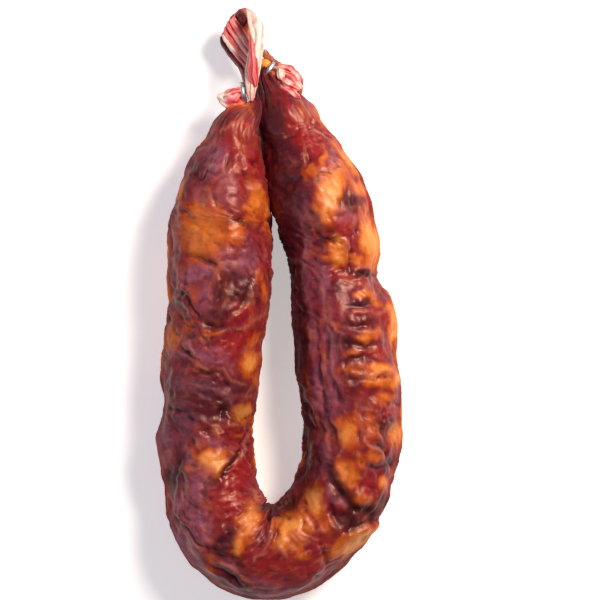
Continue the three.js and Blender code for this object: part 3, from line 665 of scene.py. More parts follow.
def fold_distance(bent, line):
    """For each place near a line: where it is, how far it is from the line, which side of it, in plan, and
    how strong the fold is there, which fades towards both ends of the line."""
    low, high = line.min(axis=0) - FOLD_REACH, line.max(axis=0) + FOLD_REACH
    near = np.nonzero(np.all((bent > low) & (bent < high), axis=-1))
    away = bent[near][:, None] - line[None]
    distance = np.linalg.norm(away, axis=-1)
    nearest = distance.argmin(axis=1)
    rows = np.arange(len(nearest))
    run = np.gradient(line, axis=0)[nearest]
    away = away[rows, nearest]
    side = np.sign(run[:, 0] * away[:, 1] - run[:, 1] * away[:, 0])
    share = np.clip(nearest / (len(line) - 1), FOLD_TIP, 1 - FOLD_TIP)
    return near, distance[rows, nearest], side, np.sqrt(np.sin(math.pi * share))


def laid_line(skin, places):
    """The smooth line through x, y places on the skin's upper side."""
    points = np.array([skin.on_top(x, y) for x, y in places])
    count = max(int(np.linalg.norm(np.diff(points, axis=0), axis=1).sum() / FOLD_STEP), 8)
    shares, _ = even_shares(points, count)
    return curve_through(points, shares)


def fold_relief(skin, bent):
    """Heights of the laid folds, creases and overlaps at each place, in mm, and how dry the crests are,
    which is also how much painted highlight they carry.
    """
    ridges, hollows, steps, crests = (np.zeros(skin.turn.shape) for _ in range(4))
    for height, width, places in RIDGES:
        near, distance, side, strength = fold_distance(bent, laid_line(skin, places))
        dry_crest_and_highlight = min(height / FULL_CREST, 1.0) * strength * np.exp(-((distance / CREST_WIDTH) ** 2))
        crests[near] = np.maximum(crests[near], dry_crest_and_highlight)
        reach = np.where(side > 0, STEEP_SIDE * width, EASY_SIDE * width)
        ridge = height * strength / (1 + (distance / reach) ** 2) ** FOLD_SHARPNESS
        ridges[near] = np.maximum(ridges[near], ridge)
    for depth, width, places in CREASES:
        near, distance, _, strength = fold_distance(bent, laid_line(skin, places))
        lips = LIP_HEIGHT * np.exp(-(((distance - LIP_PLACE * width) / (LIP_WIDTH * width)) ** 2))
        hollows[near] += depth * strength * (lips - np.exp(-((distance / width) ** 2)))
    for height, width, places in OVERLAPS:
        near, distance, side, strength = fold_distance(bent, laid_line(skin, places))
        signed = -side * distance
        lobe = smooth_step(-width, width, signed) * np.exp(-np.maximum(signed, 0) / FOLD_REACH)
        gutter = GUTTER_DEPTH * np.exp(-(((signed + GUTTER_PLACE * width) / width) ** 2))
        fading = smooth_step(FOLD_REACH, OVERLAP_FADE * FOLD_REACH, distance)
        steps[near] += height * strength * (lobe - gutter) * fading
    return ridges + np.maximum(hollows, -DEEPEST_CREASE) + steps, crests


def sharp_folds(values):
    """Heights from about -1 to 1 of sharp folds that run where noise crosses zero."""
    return 1.0 - FOLD_LIFT * np.sqrt(values**2 + CREST_ROUNDING**2)


def crumpled(skin, size):
    """Random folds of the dried skin, about that many mm apart, from about -1 to 1. They run lengthways,
    slanting or crossways by turns along the body."""
    folds = {}
    for way, (stretch, twist, seed) in FOLD_WAYS.items():
        straight = skin.straightened(stretch, twist)
        bent = straight + wander(straight, *FOLD_WANDER, seed=seed)
        folds[way] = sharp_folds(lumps(bent, size, 2, seed=seed + 5))
    share = smooth_step(*SLANT_RANGE, lumps(skin.straightened(), SLANT_SIZE, 2, seed=40))
    mixed = folds["lengthways"] * (1 - share) + folds["slanting"] * share
    share = smooth_step(*CROSS_RANGE, lumps(skin.straightened(), CROSS_SIZE, 2, seed=44))
    return mixed * (1 - share) + folds["crossways"] * share


def neck_pleats(skin):
    """Depth of the pleats where the casing is gathered at both necks, as a share of the radius."""
    shifted = skin.turn + PLEAT_WANDER * lumps(skin.straightened(), PLEAT_WANDER_SIZE, 2, seed=90)
    broad = np.abs(np.cos(0.5 * NECK_PLEATS * shifted)) ** PLEAT_ROUNDING - PLEAT_MIDDLE
    fine = 0.5 * FINE_PLEATS * NECK_PLEATS * shifted + FINE_PLEAT_SHIFT
    fine = np.abs(np.cos(fine)) ** PLEAT_ROUNDING - PLEAT_MIDDLE
    gathered = smooth_step(PLEAT_REACH, FULL_PLEATS * PLEAT_REACH, skin.from_end)
    return (PLEAT_DEPTH * broad + FINE_PLEAT_DEPTH * fine) * gathered


def body_sheet(skin, look):
    """The worked skin: its places and the amounts that colour it."""
    straight = skin.straightened()
    bent = skin.bent(PATCH_BENDS)
    rng = np.random.default_rng(SCATTER_SEED)
    uneven = lumps(straight, 3.2, 3, seed=20)

    amounts = {}
    for key, laid in LAID.items():
        scattered = scattered_amount(skin, bent, rng, *SCATTERED[key])
        amounts[key] = np.maximum(patch_amount(skin, bent, laid), scattered)
    amounts["dark_and_shade"] = patch_amount(skin, bent, DARK_AND_SHADE_PATCHES)
    fat = amounts["fat"]

    relief = np.zeros(skin.turn.shape)
    for x, y, z, height, spread in SWELLS:
        distance = np.linalg.norm(skin.places - (np.array([x, y, z]) + CENTRING), axis=-1)
        relief += height * np.exp(-((distance / spread) ** 2))
    for x, y, depth, spread in DENTS:
        distance = np.linalg.norm(bent - skin.on_top(x, y), axis=-1)
        relief -= depth * np.exp(-((distance / spread) ** 2))

    folds = crumpled(skin, FOLD_SPACING)
    small_folds = crumpled(skin, SMALL_FOLD_SPACING)
    fine_folds = sharp_folds(lumps(skin.straightened(*FINE_FOLD_WAY), FINE_FOLD_SPACING, 2, seed=27))
    fine_share = smooth_step(-0.25, 0.35, lumps(straight, 6.0, 2, seed=24))
    chunks = lumps(straight + wander(straight, *CHUNK_WANDER, seed=30), CHUNK_SIZE, 2, seed=33)
    off_necks = smooth_step(*OFF_NECKS, skin.from_end)
    on_sides = 1 + SIDE_FOLDS * smooth_step(0.5, 0.0, skin.normals[..., 2])
    uneven_height = UNEVEN_FOLDS[0] + UNEVEN_FOLDS[1] * uneven
    laid_relief, crests = fold_relief(skin, skin.bent(FOLD_BENDS))

    bulge = look.bulge_height / MM
    fold = look.fold_height / MM
    relief += bulge * (FAT_BULGE * fat + RED_BULGE * amounts["red"] + CHUNK_BULGE * chunks) * off_necks
    share = NECK_FOLDS + (1 - NECK_FOLDS) * off_necks
    relief += fold * on_sides * folds * (1 - TAUT_FAT * fat) * share
    share = SMALL_NECK_FOLDS + (1 - SMALL_NECK_FOLDS) * off_necks
    relief += SMALL_FOLD_HEIGHT * fold * on_sides * small_folds * uneven_height * share
    relief += FINE_FOLD_HEIGHT * fold * fine_folds * fine_share
    relief += laid_relief
    relief += neck_pleats(skin) * skin.radius

    places = skin.places + relief[..., None] * skin.normals
    height = places[..., 2]
    places[..., 2] = 0.5 * (height + np.sqrt(height**2 + FLOOR_BLEND**2))
    random_crests = smooth_step(0.55, 0.8, small_folds) * smooth_step(-0.1, 0.5, uneven) * off_necks
    # The ridge amount is the dry crests' colour together with a painted highlight.
    amounts["ridge"] = np.maximum(crests, RANDOM_CREST * random_crests)
    # How sunken each place is; the material paints shade into the creases by it.
    amounts["cavity"] = np.clip(blurred(relief, CAVITY_ROUNDS) - relief, -1.0, 1.5)
    amounts["below"] = smooth_step(0.7, 0.0, skin.normals[..., 2])
    return places, amounts


# ---------------------------------------------------------------------------------------------------------
# The empty casing: the loop that the sausage hangs by, and the loose ends beside the clips

STRAND_STEP = 0.32    # mm between the rings of a strand
STRAND_CORNERS = 64
FEWEST_RINGS = 16
THINNEST = 0.1        # mm, half the thickness of a strand at its thinnest
GUT_CAVITY_ROUNDS = 5
GUT_WANDER = 0.55     # radians that a pleat strays to each side
GUT_WANDER_RUN = 6.0  # mm along the strand over which it does
GUT_PLEAT_ROUNDING = 0.8
GUT_PLEAT_MIDDLE = 0.6
SECOND_PLEATS = 0.28  # share of the height that goes to finer pleats, twice as many and one more
SECOND_SHIFT = 1.3    # radians by which they are out of step with the broad ones
PLEAT_ROOM = 1.6      # a pleat's depth goes with the half width, or this many half thicknesses if less
GUT_LUMPS = 2.4       # mm
GUT_CRINKLES = 1.5    # mm
CRINKLE_SHARE = 0.4   # height of the crinkles, as a share of the lumps'
CRINKLE_LIFT = 2.2    # how fast a crinkle falls away from its crest
# Painted shade: the gut is darker underneath and to its left, the side away from the key light. How much a
# normal's x counts beside its rise, where the shade begins and where it is full, and how dark it gets.
PAINTED_SHADE_LEAN = 0.35
PAINTED_SHADE_RISE = (0.35, -0.6)
PAINTED_SHADE_AMOUNT = 0.75

# Each station of a strand: x, y, z; the way across it; half width and half thickness; then how cream, how
# dark and how amber the gut is there, from 0 to 1. The dark is painted shade where the loop's inside and its
# outer fold lie in shadow.
LOOP_RIBBON = [
    (-9.9, 66.6, 18.8, 1.0, 0.1, 0, 0.6, 0.5, 0.5, 0.1, 0.0),
    (-10.0, 69.4, 19.6, 1.0, 0.1, 0, 1.4, 1.0, 0.7, 0.0, 0.0),
    (-9.7, 73.0, 19.9, 1.0, 0.0, 0, 2.0, 1.3, 0.8, 0.0, 0.0),
    (-9.3, 77.5, 20.1, 1.0, 0.0, 0, 2.4, 1.4, 0.8, 0.0, 0.0),
    (-8.5, 82.0, 20.4, 1.0, 0.0, 0, 2.3, 1.4, 1.0, 0.0, 0.0),
    (-7.8, 86.5, 20.7, 1.0, 0.0, 0, 2.1, 1.3, 1.0, 0.0, 0.0),
    (-8.0, 91.0, 20.6, 1.0, 0.0, 0, 2.5, 1.2, 1.0, 0.0, 0.0),
    (-8.9, 94.2, 19.7, 0.9, -0.45, 0, 2.7, 1.1, 0.9, 0.0, 0.0),
    (-10.9, 96.2, 16.8, 0.76, -0.65, 0, 2.6, 1.0, 0.1, 0.1, 0.45),
    (-13.4, 95.0, 12.6, 0.8, -0.5, 0, 2.7, 1.0, 0.0, 0.75, 0.0),
    (-15.6, 91.6, 9.4, 0.9, 0.1, 0, 3.2, 1.2, 0.0, 0.5, 0.0),
    (-15.3, 87.8, 8.4, 0.78, 0.62, 0, 3.3, 1.4, 0.0, 0.4, 0.0),
    (-13.0, 84.0, 8.8, 0.6, 0.8, 0, 3.0, 1.6, 0.1, 0.3, 0.0),
    (-9.8, 81.4, 9.8, 0.5, 0.85, 0, 2.3, 1.6, 0.1, 0.3, 0.0),
    (-6.9, 80.2, 11.8, 0.5, 0.85, 0, 1.5, 1.4, 0.0, 0.4, 0.2),
    (-5.2, 79.2, 12.4, 0.5, 0.85, 0, 1.3, 1.3, 0.1, 0.3, 0.3),
    (-3.9, 78.2, 12.8, 0.5, 0.85, 0, 1.1, 1.1, 0.0, 0.2, 0.5),
    (-2.7, 77.0, 12.6, 0.5, 0.85, 0, 1.0, 1.0, 0.0, 0.0, 0.3),
]
# The folds of the loop's left lobe, from the inner one to the outer one, which is painted dark as shade.
LOOP_LOBE_FOLDS = [
    [(-15.4, 96.3, 15.0, 0.78, 0.62, 0, 0.4, 0.4, 0.0, 0.2, 0.0),
     (-16.4, 94.4, 14.4, 0.78, 0.62, 0, 1.2, 0.9, 0.35, 0.0, 0.0),
     (-14.6, 91.4, 14.0, 0.78, 0.62, 0, 1.4, 1.0, 0.3, 0.0, 0.0),
     (-12.4, 88.2, 14.2, 0.78, 0.62, 0, 1.4, 1.0, 0.45, 0.0, 0.0),
     (-10.8, 85.4, 15.4, 0.78, 0.62, 0, 1.1, 0.9, 0.3, 0.0, 0.0),
     (-9.6, 82.8, 16.6, 0.78, 0.62, 0, 0.4, 0.4, 0.1, 0.2, 0.0)],
    [(-17.2, 94.6, 14.2, 0.78, 0.62, 0, 0.4, 0.4, 0.0, 0.2, 0.0),
     (-17.6, 92.6, 13.8, 0.78, 0.62, 0, 1.0, 0.8, 0.1, 0.0, 0.0),
     (-15.6, 89.4, 13.6, 0.78, 0.62, 0, 1.2, 0.9, 0.4, 0.0, 0.0),
     (-13.0, 86.0, 13.8, 0.78, 0.62, 0, 1.3, 1.0, 0.65, 0.0, 0.0),
     (-10.9, 83.0, 15.0, 0.78, 0.62, 0, 1.1, 0.9, 0.6, 0.0, 0.0),
     (-9.8, 80.8, 16.6, 0.78, 0.62, 0, 0.4, 0.4, 0.2, 0.1, 0.0)],
    [(-18.6, 92.4, 13.4, 0.78, 0.62, 0, 0.4, 0.4, 0.0, 0.2, 0.0),
     (-18.5, 90.4, 13.2, 0.78, 0.62, 0, 0.9, 0.8, 0.1, 0.0, 0.0),
     (-16.6, 87.6, 13.0, 0.78, 0.62, 0, 1.1, 0.9, 0.05, 0.0, 0.0),
     (-14.2, 84.4, 13.2, 0.78, 0.62, 0, 1.2, 1.0, 0.2, 0.0, 0.0),
     (-11.6, 81.2, 14.6, 0.78, 0.62, 0, 1.1, 0.9, 0.5, 0.0, 0.0),
     (-10.4, 78.8, 16.6, 0.78, 0.62, 0, 0.4, 0.4, 0.1, 0.1, 0.0)],
    [(-19.7, 90.2, 12.6, 0.78, 0.62, 0, 0.4, 0.4, 0.2, 0.1, 0.0),
     (-18.7, 88.6, 12.8, 0.78, 0.62, 0, 1.0, 0.8, 0.75, 0.0, 0.0),
     (-16.8, 86.0, 12.8, 0.78, 0.62, 0, 1.2, 0.9, 0.8, 0.0, 0.0),
     (-14.8, 83.2, 13.2, 0.78, 0.62, 0, 1.1, 0.9, 0.5, 0.0, 0.0),
     (-12.6, 80.2, 14.6, 0.78, 0.62, 0, 1.0, 0.8, 0.1, 0.0, 0.0),
     (-11.2, 77.6, 17.2, 0.78, 0.62, 0, 0.4, 0.4, 0.0, 0.2, 0.0)],
    [(-20.3, 89.3, 10.4, 0.78, 0.62, 0, 0.3, 0.3, 0.0, 0.9, 0.0),
     (-19.4, 87.4, 10.2, 0.78, 0.62, 0, 1.1, 0.9, 0.0, 0.95, 0.0),
     (-17.6, 84.6, 10.2, 0.78, 0.62, 0, 1.3, 1.0, 0.0, 0.8, 0.0),
     (-15.3, 81.6, 10.8, 0.78, 0.62, 0, 1.3, 1.0, 0.0, 0.6, 0.0),
     (-13.2, 78.6, 13.0, 0.85, 0.5, 0, 1.3, 1.0, 0.0, 0.75, 0.0),
     (-12.0, 75.4, 16.4, 0.97, 0.2, 0, 1.2, 1.0, 0.05, 0.6, 0.0),
     (-11.6, 72.6, 18.4, 1.0, 0.0, 0, 0.9, 0.8, 0.4, 0.2, 0.0),
     (-11.0, 70.4, 19.4, 1.0, 0.0, 0, 0.4, 0.4, 0.5, 0.0, 0.0)],
]
LOOP_RED_STRAND = [
    (-10.0, 89.0, 20.8, 1.0, 0.2, 0, 0.3, 0.3, -0.2, 0.1, 0.0),
    (-9.7, 86.0, 21.5, 1.0, 0.2, 0, 0.9, 0.8, -0.3, 0.1, 0.0),
    (-9.4, 81.5, 21.7, 1.0, 0.1, 0, 1.4, 1.0, -0.35, 0.15, 0.0),
    (-9.3, 77.5, 21.6, 1.0, 0.0, 0, 1.8, 1.0, -0.3, 0.1, 0.0),
    (-9.1, 74.0, 21.2, 1.0, 0.0, 0, 1.5, 0.9, -0.2, 0.0, 0.0),
    (-8.5, 71.2, 20.5, 1.0, 0.0, 0, 0.5, 0.4, 0.1, 0.0, 0.0),
]
LOOP_TORN_STRIP = [
    (-6.6, 84.6, 15.6, 0.6, 0.8, 0, 0.3, 0.2, 0.0, 0.4, 0.5),
    (-5.6, 83.0, 15.0, 0.6, 0.8, 0, 1.3, 0.4, 0.0, 0.4, 0.5),
    (-3.8, 81.8, 14.4, 0.6, 0.8, 0, 0.9, 0.4, 0.0, 0.4, 0.6),
    (-2.2, 80.3, 14.0, 0.6, 0.8, 0, 0.8, 0.4, 0.0, 0.5, 0.4),
    (-0.4, 78.9, 13.8, 0.6, 0.8, 0, 0.9, 0.4, 0.0, 0.4, 0.6),
    (1.4, 77.8, 13.4, 0.6, 0.8, 0, 0.3, 0.2, 0.0, 0.4, 0.5),
]
LEFT_END_STRANDS = [
    [(-11.4, 69.6, 17.1, -0.1, 1.0, 0, 0.9, 0.9, 0.1, 0.2, 0.0),
     (-12.8, 69.3, 17.3, -0.1, 1.0, 0, 1.5, 1.4, 0.1, 0.1, 0.0),
     (-14.4, 68.4, 18.0, -0.1, 1.0, 0, 2.8, 2.0, 0.1, 0.0, 0.0),
     (-16.2, 67.4, 18.8, -0.1, 1.0, 0, 3.3, 2.3, 0.15, 0.0, 0.0),
     (-17.9, 67.0, 19.3, -0.1, 1.0, 0, 2.9, 2.1, 0.4, 0.0, 0.0),
     (-19.3, 67.3, 19.6, -0.1, 1.0, 0, 2.2, 1.3, 0.9, 0.0, 0.0),
     (-20.5, 67.9, 19.6, -0.1, 1.0, 0, 1.2, 0.6, 1.0, 0.0, 0.0),
     (-21.0, 68.3, 19.4, -0.1, 1.0, 0, 0.3, 0.2, 1.0, 0.0, 0.0)],
    [(-12.6, 68.0, 16.6, 0.83, -0.55, 0, 0.8, 0.8, 0.1, 0.3, 0.0),
     (-13.4, 66.2, 17.4, 0.83, -0.55, 0, 1.9, 1.5, 0.1, 0.1, 0.0),
     (-14.7, 64.4, 17.6, 0.83, -0.55, 0, 2.3, 1.6, 0.15, 0.0, 0.0),
     (-16.6, 63.0, 18.6, 0.7, -0.7, 0, 1.8, 1.3, 0.3, 0.0, 0.0),
     (-18.6, 61.5, 18.6, 0.7, -0.7, 0, 1.2, 0.8, 0.2, 0.1, 0.0),
     (-20.2, 60.2, 17.6, 0.7, -0.7, 0, 0.3, 0.3, 0.0, 0.3, 0.0)],
    [(-12.2, 70.2, 18.2, 0.1, 1.0, 0, 0.5, 0.5, 0.1, 0.2, 0.0),
     (-14.0, 70.1, 19.2, 0.1, 1.0, 0, 1.1, 1.0, 0.25, 0.0, 0.0),
     (-15.8, 69.7, 20.2, 0.1, 1.0, 0, 1.2, 1.1, 0.1, 0.0, 0.0),
     (-17.6, 68.8, 20.8, 0.1, 1.0, 0, 1.0, 0.9, 0.5, 0.0, 0.0),
     (-19.0, 68.2, 20.6, 0.1, 1.0, 0, 0.5, 0.4, 0.8, 0.0, 0.0)],
]
LOOP_INSIDE = [
    (-11.4, 98.0, 14.6, 1.0, 0.0, 0, 0.6, 0.5, 0.0, 0.2, 0.6),
    (-11.6, 95.6, 12.2, 1.0, 0.0, 0, 1.6, 0.8, 0.0, 0.25, 0.45),
    (-11.7, 92.8, 10.6, 1.0, 0.0, 0, 1.8, 0.8, 0.0, 0.35, 0.45),
    (-11.6, 90.0, 10.0, 1.0, 0.0, 0, 2.2, 0.9, 0.1, 0.0, 0.5),
    (-11.0, 87.0, 10.0, 1.0, 0.0, 0, 1.8, 0.8, 0.0, 0.1, 0.45),
    (-10.2, 84.4, 10.6, 1.0, 0.0, 0, 0.6, 0.5, 0.0, 0.4, 0.3),
]
LOOP_BEAD = [
    (-6.9, 80.5, 12.8, 0.5, 0.85, 0, 0.5, 0.5, 0.0, 0.1, 0.9),
    (-6.3, 80.2, 13.2, 0.5, 0.85, 0, 1.4, 1.3, 0.0, 0.0, 1.0),
    (-5.2, 79.6, 13.6, 0.5, 0.85, 0, 1.8, 1.7, 0.0, 0.0, 1.0),
    (-4.2, 79.0, 13.4, 0.5, 0.85, 0, 1.4, 1.3, 0.0, 0.0, 1.0),
    (-3.6, 78.6, 13.1, 0.5, 0.85, 0, 0.5, 0.5, 0.0, 0.1, 0.9),
]
RIGHT_END_STRANDS = [
    [(-2.6, 77.2, 13.2, 0.3, 0.95, 0, 0.7, 0.7, 0.1, 0.1, 0.3),
     (-1.0, 78.0, 14.2, 0.3, 0.95, 0, 1.1, 0.9, 0.5, 0.0, 0.1),
     (1.2, 78.2, 15.0, 0.3, 0.95, 0, 1.2, 0.9, 0.5, 0.0, 0.0),
     (3.6, 77.2, 15.4, 0.6, 0.8, 0, 1.3, 0.9, 0.3, 0.0, 0.0),
     (5.6, 75.0, 15.4, 0.8, 0.6, 0, 1.3, 0.9, 0.5, 0.0, 0.0),
     (6.2, 72.4, 15.0, 0.95, 0.3, 0, 1.2, 0.8, 0.1, 0.0, 0.1),
     (6.4, 70.2, 14.4, 0.95, 0.3, 0, 0.8, 0.6, 0.1, 0.2, 0.3),
     (6.3, 68.8, 13.8, 0.95, 0.3, 0, 0.3, 0.3, 0.0, 0.3, 0.3)],
    [(-1.6, 76.6, 14.0, 0.5, 0.85, 0, 0.8, 0.8, 0.2, 0.0, 0.3),
     (0.4, 76.2, 15.6, 0.5, 0.85, 0, 1.3, 1.1, 0.6, 0.0, 0.0),
     (2.4, 75.2, 16.6, 0.6, 0.8, 0, 1.5, 1.2, 0.25, 0.0, 0.0),
     (4.2, 73.8, 16.8, 0.6, 0.8, 0, 1.4, 1.1, 0.1, 0.0, 0.0),
     (5.8, 72.2, 16.2, 0.7, 0.7, 0, 1.1, 0.8, 0.75, 0.0, 0.0),
     (6.9, 71.0, 15.4, 0.7, 0.7, 0, 0.4, 0.4, 0.4, 0.1, 0.0)],
    [(-1.2, 75.0, 14.6, 0.55, 0.85, 0, 0.8, 0.8, 0.3, 0.0, 0.1),
     (0.6, 74.0, 16.6, 0.55, 0.85, 0, 1.3, 1.1, 0.2, 0.0, 0.0),
     (2.2, 72.8, 17.6, 0.55, 0.85, 0, 1.6, 1.3, 0.6, 0.0, 0.0),
     (3.9, 72.2, 17.4, 0.55, 0.85, 0, 1.3, 1.0, 0.2, 0.0, 0.0),
     (5.4, 71.4, 16.6, 0.55, 0.85, 0, 0.9, 0.7, 0.5, 0.0, 0.0),
     (6.4, 70.7, 15.8, 0.55, 0.85, 0, 0.3, 0.3, 0.3, 0.2, 0.0)],
    [(-1.4, 73.8, 14.4, 0.7, 0.7, 0, 0.7, 0.6, 0.1, 0.2, 0.0),
     (0.2, 72.0, 16.2, 0.7, 0.7, 0, 1.1, 0.9, 0.15, 0.0, 0.0),
     (2.0, 70.6, 17.2, 0.7, 0.7, 0, 1.4, 1.0, 0.1, 0.0, 0.0),
     (3.8, 69.2, 17.4, 0.65, 0.75, 0, 1.3, 0.9, 0.4, 0.0, 0.0),
     (5.4, 67.6, 16.6, 0.65, 0.75, 0, 1.2, 0.8, 0.0, 0.0, 0.2),
     (6.7, 66.2, 15.4, 0.65, 0.75, 0, 0.9, 0.6, 0.4, 0.1, 0.0),
     (7.6, 65.2, 14.2, 0.65, 0.75, 0, 0.3, 0.3, 0.2, 0.3, 0.0)],
    [(-3.6, 77.6, 13.6, 0.8, 0.5, 0, 0.5, 0.5, 0.1, 0.0, 0.3),
     (-3.2, 76.2, 15.4, 0.9, 0.3, 0, 1.1, 0.8, 0.25, 0.0, 0.4),
     (-2.6, 74.6, 15.8, 0.9, 0.3, 0, 1.2, 0.8, 0.2, 0.0, 0.5),
     (-1.6, 73.0, 15.0, 0.9, 0.3, 0, 0.6, 0.5, 0.1, 0.3, 0.3)],
    [(-0.8, 78.2, 14.6, 0.9, 0.3, 0, 0.5, 0.5, 0.4, 0.0, 0.1),
     (-0.2, 76.8, 16.4, 0.9, 0.3, 0, 1.0, 0.8, 0.8, 0.0, 0.0),
     (0.2, 75.2, 17.4, 0.9, 0.3, 0, 1.0, 0.8, 0.75, 0.0, 0.0),
     (0.5, 73.8, 17.2, 0.9, 0.3, 0, 0.5, 0.5, 0.3, 0.1, 0.0)],
]


class Strand:
    """A strand of empty casing as a rolled sheet of places, before its surface is worked."""

    def __init__(self, stations):
        stations = np.array(stations, float)
        _, self.length = even_shares(stations[:, :3], 2)
        rings = max(int(self.length / STRAND_STEP), FEWEST_RINGS)
        shares, _ = even_shares(stations[:, :3], rings)
        line = curve_through(stations, shares)
        centre = line[:, :3] + CENTRING
        across = unit(line[:, 3:6])
        forward = unit(np.gradient(centre, axis=0))
        through = unit(np.cross(across, forward))
        flips = np.cumprod(np.where(np.sum(through[1:] * through[:-1], axis=1) < 0, -1, 1))
        through[1:] *= flips[:, None]
        self.half = np.maximum(line[:, 6:8], THINNEST)
        self.shares = np.clip(line[:, 8:11], -1, 1)
        self.turn = np.linspace(0, 2 * math.pi, STRAND_CORNERS)[None, :] * np.ones((rings, 1))
        self.along = np.linspace(0, self.length, rings)[:, None] * np.ones((1, STRAND_CORNERS))
        wide = np.cos(self.turn) * self.half[:, :1]
        thick = np.sin(self.turn) * self.half[:, 1:]
        spread = wide[..., None] * across[:, None]
        self.places = centre[:, None] + spread + thick[..., None] * through[:, None]
        self.normals = surface_normals(self.places)


def pleated_sheet(stations, pleats, depth, crumple, seed):
    """A strand whose sides are drawn into so many lengthwise pleats, as deep as that share of its half width,
    and crumpled by so many mm, with the amounts that colour it and its length and width."""
    strand = Strand(stations)
    along = np.stack([strand.along / GUT_WANDER_RUN, np.cos(strand.turn), np.sin(strand.turn)], axis=-1)
    shifted = strand.turn + GUT_WANDER * lumps(along, 1.0, 2, seed=seed)
    first = np.abs(np.cos(0.5 * pleats * shifted)) ** GUT_PLEAT_ROUNDING
    second = np.abs(np.cos(0.5 * (2 * pleats + 1) * shifted + SECOND_SHIFT)) ** GUT_PLEAT_ROUNDING
    pleat = (1 - SECOND_PLEATS) * first + SECOND_PLEATS * second
    room = np.minimum(strand.half[:, :1], strand.half[:, 1:] * PLEAT_ROOM)
    relief = depth * room * (pleat - GUT_PLEAT_MIDDLE)
    relief += crumple * lumps(strand.places, GUT_LUMPS, 3, seed=seed + 3)
    crinkles = 1 - CRINKLE_LIFT * np.abs(lumps(strand.places, GUT_CRINKLES, 2, seed=seed + 5))
    relief += CRINKLE_SHARE * crumple * crinkles
    places = strand.places + relief[..., None] * strand.normals
    ones = np.ones(strand.turn.shape)
    # The cavity amount becomes painted shade in the bottom of the pleats.
    amounts = {"pleat": pleat, "cavity": np.clip(blurred(relief, GUT_CAVITY_ROUNDS) - relief, -1, 1)}
    for index, key in enumerate(("cream", "dark_and_shade", "amber")):
        amounts[key] = strand.shares[:, index:index + 1] * ones
    # Painted shade on the strands' undersides and left sides.
    turned_up = strand.normals[..., 2] + PAINTED_SHADE_LEAN * strand.normals[..., 0]
    amounts["dark_and_shade"] = np.maximum(amounts["dark_and_shade"], PAINTED_SHADE_AMOUNT * smooth_step(*PAINTED_SHADE_RISE, turned_up))
    width = 2 * math.pi * float(strand.half.mean())
    return places, amounts, (strand.length, width)


# ---------------------------------------------------------------------------------------------------------
# The clips

WIRE_RADIUS = 0.9
RING_RADIUS = 2.8     # from the middle of the neck to the middle of the wire
RING_GAP = 40.0       # degrees that the ring stays open, under the neck
RING_STEPS = 72
WIRE_CORNERS = 33
WIRE_END = 0.35       # mm over which the wire's cut ends are rounded
SQUEEZE = 0.06        # how much the pliers have flattened the wire by turns, as a share
# Each clip's middle in mm, and the direction of the neck that it holds.
CLIPS = {
    "left_clip": ((-12.6, 69.7, 17.0), (0.98, 0.18, 0.0)),
    "right_clip": ((-3.9, 77.6, 12.6), (-0.85, 0.53, 0.0)),
}


def clip_sheet(middle, axis, wire_radius):
    """A wire bent round a neck into a ring that stops short of closing."""
    axis = unit(np.array(axis))
    side = unit(np.cross([0.0, 0.0, 1.0], axis))
    rise = np.cross(axis, side)
    sweep = np.radians(np.linspace(-90 + RING_GAP / 2, 270 - RING_GAP / 2, RING_STEPS))[:, None]
    out = np.cos(sweep) * side + np.sin(sweep) * rise
    length = RING_RADIUS * float(sweep[-1, 0] - sweep[0, 0])
    from_end = np.minimum(sweep - sweep[0], sweep[-1] - sweep) * RING_RADIUS
    rounding = np.sqrt(1 - (1 - np.clip(from_end / WIRE_END, 0, 1)) ** 2)
    squeeze = 1 + SQUEEZE * np.sin(3 * sweep + middle[0])
    turn = np.linspace(0, 2 * math.pi, WIRE_CORNERS)[None, :]
    wide = (wire_radius * rounding * np.cos(turn) * squeeze)[..., None]
    thick = (wire_radius * rounding * np.sin(turn) / squeeze)[..., None]
    centre = np.array(middle) + CENTRING + RING_RADIUS * out
    places = centre[:, None] + wide * axis + thick * out[:, None]
    return places, {}, (length, 2 * math.pi * wire_radius)


# ---------------------------------------------------------------------------------------------------------
# Materials


def linear(colour):
    """The linear colour of an sRGB hex value."""
    parts = [int(colour[k:k + 2], 16) / 255 for k in (1, 3, 5)]
    return tuple(p / 12.92 if p <= 0.04045 else ((p + 0.055) / 1.055) ** 2.4 for p in parts)


def opaque(colour):
    """A linear colour as a socket or a ramp takes it."""
    return (*colour, 1.0)


def colour_setting(name, description, value):
    """A colour that a user may change, from its sRGB hex value."""
    return FloatVectorProperty(name=name, description=description, subtype="COLOR", min=0.0, max=1.0,
                               default=linear(value))


